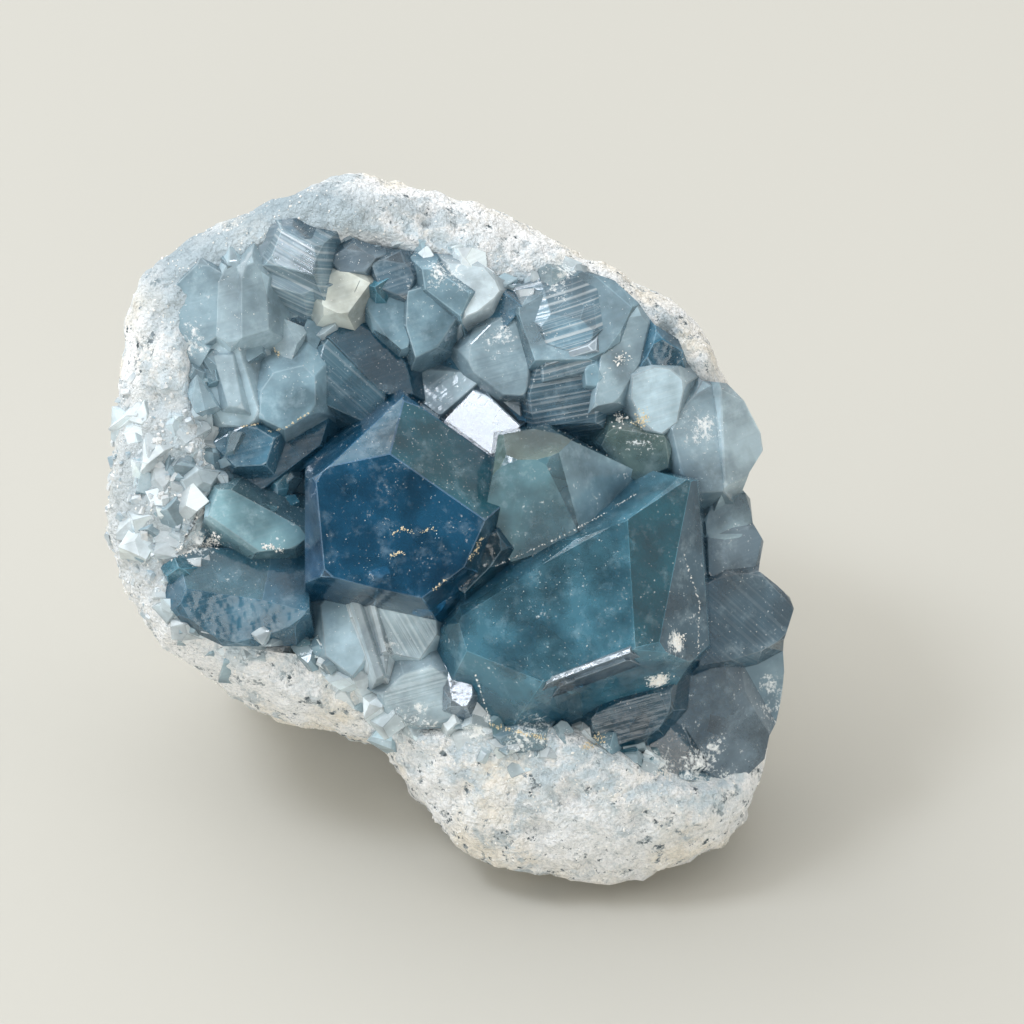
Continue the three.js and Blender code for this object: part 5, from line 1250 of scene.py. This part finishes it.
def chalky_rind():
    """Weathered limestone and massive celestite: chalk white with cream and blue-grey patches, dark
    specks that show most where the fine relief is low, a grainy darkening that is partly painted shade,
    and glassier pale blue towards the crystals."""
    material, tree = start_material("chalky rind")
    out = put(tree, "ShaderNodeOutputMaterial")
    place = put(tree, "ShaderNodeTexCoord").outputs["Object"]

    def pattern(across_mm, detail, roughness, low, high, distortion=0.0):
        """A mottled pattern, and how far it is from a low to a high value of it, from 0 to 1."""
        field = put(tree, "ShaderNodeTexNoise", {}, {
            "Vector": place, "Scale": 1 / (across_mm * MM), "Detail": detail, "Roughness": roughness,
            "Distortion": distortion})
        ranged = put(tree, "ShaderNodeMapRange", {}, {
            "Value": field.outputs["Fac"], "From Min": low, "From Max": high})
        return field.outputs["Fac"], ranged.outputs[0]

    def grains(across_mm):
        """A skin of grains: how far each place is from its grain's middle, and the grain's shade."""
        cells = put(tree, "ShaderNodeTexVoronoi", {}, {"Vector": place, "Scale": 1 / (across_mm * MM)})
        shade = put(tree, "ShaderNodeSeparateColor", {}, {"Color": cells.outputs["Color"]})
        return cells.outputs["Distance"], shade.outputs[0]

    _, creamy = pattern(CREAMY_PATCH, detail=4.0, roughness=0.6, low=0.46, high=0.62)
    chalk = put(tree, "ShaderNodeMix", COLOURS, {
        FACTOR: creamy, FIRST: linear("#f8f9f9"), SECOND: linear("#f6f0e4")})
    _, bluish = pattern(BLUISH_PATCH, detail=5.0, roughness=0.7, low=0.54, high=0.62, distortion=0.5)
    chalk = put(tree, "ShaderNodeMix", COLOURS, {
        FACTOR: bluish, FIRST: chalk.outputs[BLEND], SECOND: linear("#cbd4d8")})
    coarse_height, coarse = grains(COARSE_GRAIN)
    fine_height, fine = grains(FINE_GRAIN)
    # The dark grains show most where the fine relief is low.
    grain_height, relief_height_share = pattern(RELIEF_SWELL_SIZE, detail=4.0, roughness=0.75, low=0.33, high=0.55)
    coarse = put(tree, "ShaderNodeMath", {"operation": "MULTIPLY_ADD"}, {0: coarse, 1: 0.55, 2: relief_height_share})
    coarse_dark = put(tree, "ShaderNodeMapRange", {}, {
        "Value": coarse.outputs[0], "From Min": 0.3, "From Max": 0.66})
    chalk = put(tree, "ShaderNodeMix", COLOURS, {
        FACTOR: coarse_dark.outputs[0], FIRST: linear("#9aa3a7"), SECOND: chalk.outputs[BLEND]})
    fine = put(tree, "ShaderNodeMath", {"operation": "MULTIPLY_ADD"}, {0: fine, 1: 0.6, 2: relief_height_share})
    fine_dark = put(tree, "ShaderNodeMapRange", {}, {
        "Value": fine.outputs[0], "From Min": 0.3, "From Max": 0.44})
    chalk = put(tree, "ShaderNodeMix", COLOURS, {
        FACTOR: fine_dark.outputs[0], FIRST: linear("#525e64"), SECOND: chalk.outputs[BLEND]})
    # Partly the grains' own tone and partly painted shade: a fine grainy darkening for the tiny shadows
    # between the sugary grains.
    _, grain_tone_and_shade = pattern(SUGARY_GRAIN, detail=5.0, roughness=0.7, low=0.36, high=0.52)
    grain_tone_and_shade = put(tree, "ShaderNodeMix", COLOURS, {
        FACTOR: grain_tone_and_shade, FIRST: linear("#dfe3e5"), SECOND: linear("#ffffff")})
    chalk = put(tree, "ShaderNodeMix", {**COLOURS, "blend_type": "MULTIPLY"}, {
        FACTOR: 1.0, FIRST: chalk.outputs[BLEND], SECOND: grain_tone_and_shade.outputs[BLEND]})
    broken = put(tree, "ShaderNodeAttribute", {"attribute_name": "broken_rim"})
    chalk = put(tree, "ShaderNodeMix", COLOURS, {
        FACTOR: broken.outputs["Fac"], FIRST: chalk.outputs[BLEND], SECOND: linear("#b9c3c7")})
    hazy = put(tree, "ShaderNodeAttribute", {"attribute_name": "hazy"})
    hazy = put(tree, "ShaderNodeMath", {"operation": "MULTIPLY"}, {0: hazy.outputs["Fac"], 1: 0.9})
    chalk = put(tree, "ShaderNodeMix", COLOURS, {
        FACTOR: hazy.outputs[0], FIRST: chalk.outputs[BLEND], SECOND: linear("#9aacb5")})
    inner = put(tree, "ShaderNodeAttribute", {"attribute_name": "inner_rim"})
    _, glassy = pattern(GLASSY_PATCH, detail=4.0, roughness=0.6, low=0.4, high=0.6)
    glassy = put(tree, "ShaderNodeMath", {"operation": "MULTIPLY"}, {
        0: inner.outputs["Fac"], 1: glassy})
    veins = put(tree, "ShaderNodeTexNoise", {"noise_type": "RIDGED_MULTIFRACTAL"}, {
        "Vector": place, "Scale": 1 / (GLASS_VEINS * MM), "Detail": 6.0, "Roughness": 0.6})
    veins = put(tree, "ShaderNodeMapRange", {}, {
        "Value": veins.outputs["Fac"], "From Min": 0.55, "From Max": 0.95})
    glass = put(tree, "ShaderNodeMix", COLOURS, {
        FACTOR: veins.outputs[0], FIRST: linear("#c2d2da"), SECOND: linear("#f6f8f8")})
    chalk = put(tree, "ShaderNodeMix", COLOURS, {
        FACTOR: glassy.outputs[0], FIRST: chalk.outputs[BLEND], SECOND: glass.outputs[BLEND]})
    inside = put(tree, "ShaderNodeAttribute", {"attribute_name": "inside"})
    lined = put(tree, "ShaderNodeMix", COLOURS, {
        FACTOR: inside.outputs["Fac"], FIRST: chalk.outputs[BLEND], SECOND: linear("#f2f8fa")})
    relief = put(tree, "ShaderNodeMath", {"operation": "ADD"}, {0: coarse_height, 1: fine_height})
    relief = put(tree, "ShaderNodeMath", {"operation": "MULTIPLY_ADD"}, {
        0: grain_height, 1: 4.0, 2: relief.outputs[0]})
    bump = put(tree, "ShaderNodeBump", {}, {
        "Height": relief.outputs[0], "Strength": 0.8, "Distance": 0.35 * MM})
    roughness = put(tree, "ShaderNodeMapRange", {}, {
        "Value": glassy.outputs[0], "To Min": 0.85, "To Max": 0.3})
    skin = put(tree, "ShaderNodeBsdfPrincipled", {}, {
        "Base Color": lined.outputs[BLEND], "Roughness": roughness.outputs[0],
        "Normal": bump.outputs[0]})
    tree.links.new(skin.outputs[0], out.inputs["Surface"])
    return material

# ------------------------------------------------------------------ the studio
LOOKED_AT = (7.1, 2.2, 0)  # the middle of the view, on the plane of the open face
VIEW_WIDTH = 128  # of that plane, in millimetres
LENS = 200
CAMERA_HEIGHT_DEG = 36
LIT_POINT = Vector((0, 0, 0.04))  # the middle of the stone, in metres
LOOKER_DEG = (24, 42)  # from the line of sight: whoever looks on is dark to the first, gone by the second
LOOKER_GLOW = 0.09  # of the room's own glow
FLOOR_REACH = 3.0  # in metres


def camera():
    data = bpy.data.cameras.new("camera")
    data.lens = LENS
    data.clip_start = 0.01
    piece = new_object("camera", data)
    away = VIEW_WIDTH * MM * LENS / data.sensor_width
    up = math.radians(CAMERA_HEIGHT_DEG)
    piece.location = Vector(placed(LOOKED_AT)[0]) + away * Vector((0, -math.cos(up), math.sin(up)))
    piece.rotation_euler = (math.pi / 2 - up, 0, 0)
    bpy.context.scene.camera = piece


def soft_light(name, direction, away, size, watts, colour):
    """A square soft light that faces the middle of the stone."""
    data = bpy.data.lights.new(name, "AREA")
    data.size = size
    data.energy = watts
    data.color = linear(colour)[:3]
    piece = new_object(name, data)
    piece.location = LIT_POINT + Vector(direction).normalized() * away
    piece.rotation_euler = (piece.location - LIT_POINT).to_track_quat("Z", "Y").to_euler()


def surroundings():
    """A pale room, dimmer on the right, with the dim shape of whoever looks at the stone."""
    world = bpy.data.worlds.new("pale room")
    bpy.context.scene.world = world
    world.use_nodes = True
    tree = world.node_tree
    tree.nodes.clear()
    out = put(tree, "ShaderNodeOutputWorld")
    way = put(tree, "ShaderNodeTexCoord").outputs["Generated"]
    parts = put(tree, "ShaderNodeSeparateXYZ", {}, {"Vector": way})
    shade = put(tree, "ShaderNodeValToRGB", {}, {"Fac": parts.outputs["Z"]})
    stops = shade.color_ramp.elements
    stops[0].position, stops[0].color = 0.0, (1.25, 1.24, 1.2, 1)
    stops[1].position, stops[1].color = 0.8, (1.5, 1.5, 1.48, 1)
    up = math.radians(CAMERA_HEIGHT_DEG)
    looker = put(tree, "ShaderNodeVectorMath", {"operation": "DOT_PRODUCT"}, {
        0: way, 1: (0, -math.cos(up), math.sin(up))})
    bright = put(tree, "ShaderNodeMapRange", {"interpolation_type": "SMOOTHSTEP"}, {
        "Value": looker.outputs["Value"], "From Min": math.cos(math.radians(LOOKER_DEG[1])),
        "From Max": math.cos(math.radians(LOOKER_DEG[0])), "To Min": 1.0, "To Max": LOOKER_GLOW})
    dimmer = put(tree, "ShaderNodeMapRange", {"interpolation_type": "SMOOTHSTEP"}, {
        "Value": parts.outputs["X"], "From Min": -0.1, "From Max": 0.6, "To Min": 1.0, "To Max": 0.6})
    strength = put(tree, "ShaderNodeMath", {"operation": "MULTIPLY"}, {
        0: bright.outputs[0], 1: dimmer.outputs[0]})
    glow = put(tree, "ShaderNodeBackground", {}, {
        "Color": shade.outputs[0], "Strength": strength.outputs[0]})
    tree.links.new(glow.outputs[0], out.inputs["Surface"])


def floor():
    corners = [(x * FLOOR_REACH, y * FLOOR_REACH, 0) for x, y in ((-1, -1), (1, -1), (1, 1), (-1, 1))]
    mesh = mesh_of("floor", corners, [(0, 1, 2, 3)])
    piece = new_object("floor", mesh)
    material, tree = start_material("pale linen")
    out = put(tree, "ShaderNodeOutputMaterial")
    skin = put(tree, "ShaderNodeBsdfPrincipled", {}, {
        "Base Color": linear("#c0beb6"), "Roughness": 0.9})
    tree.links.new(skin.outputs[0], out.inputs["Surface"])
    mesh.materials.append(material)


def finish_with(piece, material, node=None):
    """Gives a piece its material and slot, fixes it to the stone and hides the imported part that it
    replaces.
    """
    piece.data.materials.clear()
    piece.data.materials.append(material)
    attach(piece, "root")
    if node:
        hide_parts(node)

# ------------------------------------------------------------------ putting it together
camera()
surroundings()
floor()
soft_light("window", (-0.534, -0.106, 0.847), away=0.9, size=0.22, watts=2.5, colour="#edf4ff")
soft_light("wide window", (-0.7, 0.6, 0.6), away=1.4, size=1.2, watts=5, colour="#fcfdff")
soft_light("glow of the cloth", (0.1, -0.95, 0.3), away=1.4, size=0.8, watts=6, colour="#fbf8f2")

skin_points, skin_faces = rind_skin()
rind = new_object("rind_skin", mesh_of("rind_skin", placed(skin_points), skin_faces, smooth=True))
for name, values in finish_weights(skin_points).items():
    rind.data.attributes.new(name, "FLOAT", "POINT").data.foreach_set("value", values)
finish_with(rind, chalky_rind(), "rind")
crystals = crystal_crust()
skin, crust = rind.data, crystals.data
height_at = looking_down((crust, skin))
crystal = celestite(height_at)
finish_with(crystals, crystal, "crystal_crust")

blocks = chip_shapes("block", seed=3, count=8, sides_each=5)
crumbs = chip_shapes("crumb", seed=4, count=4, sides_each=2)
chip = frosted_chips()
dust = chalk_dust("chalk dust", "#f4f3ef")
cream = chalk_dust("cream calcite grit", "#e8d9b8")
finish_with(rim_crystals(height_at), crystal)
finish_with(scattered("rim_chips", skin, chip, blocks, sizes=(0.3, 1.4), seed=1,
                      per_square_mm=0.5, weight="broken_rim"), chip)
finish_with(scattered("rim_crumbs", skin, dust, crumbs, sizes=(0.08, 0.34), seed=2,
                      per_square_mm=0.6, weight="front"), dust)
finish_with(scattered("crystal_dust", crust, dust, crumbs, sizes=(0.03, 0.11), seed=3,
                      per_square_mm=2.2, weight="dusty"), dust)
for name, patches, material, sizes, spots_seed, stones_seed in (
        ("white_grit", WHITE_GRIT, dust, (0.08, 0.34), 6, 4),
        ("cream_grit", CREAM_GRIT, cream, (0.06, 0.24), 7, 5),
        ("fine_grit", FINE_GRIT, dust, (0.05, 0.2), 8, 6)):
    spots = grit_spots(name, patches, height_at, spots_seed)
    finish_with(scattered(name, spots, material, crumbs, sizes, stones_seed), material)

bpy.context.scene.view_settings.view_transform = "Standard"
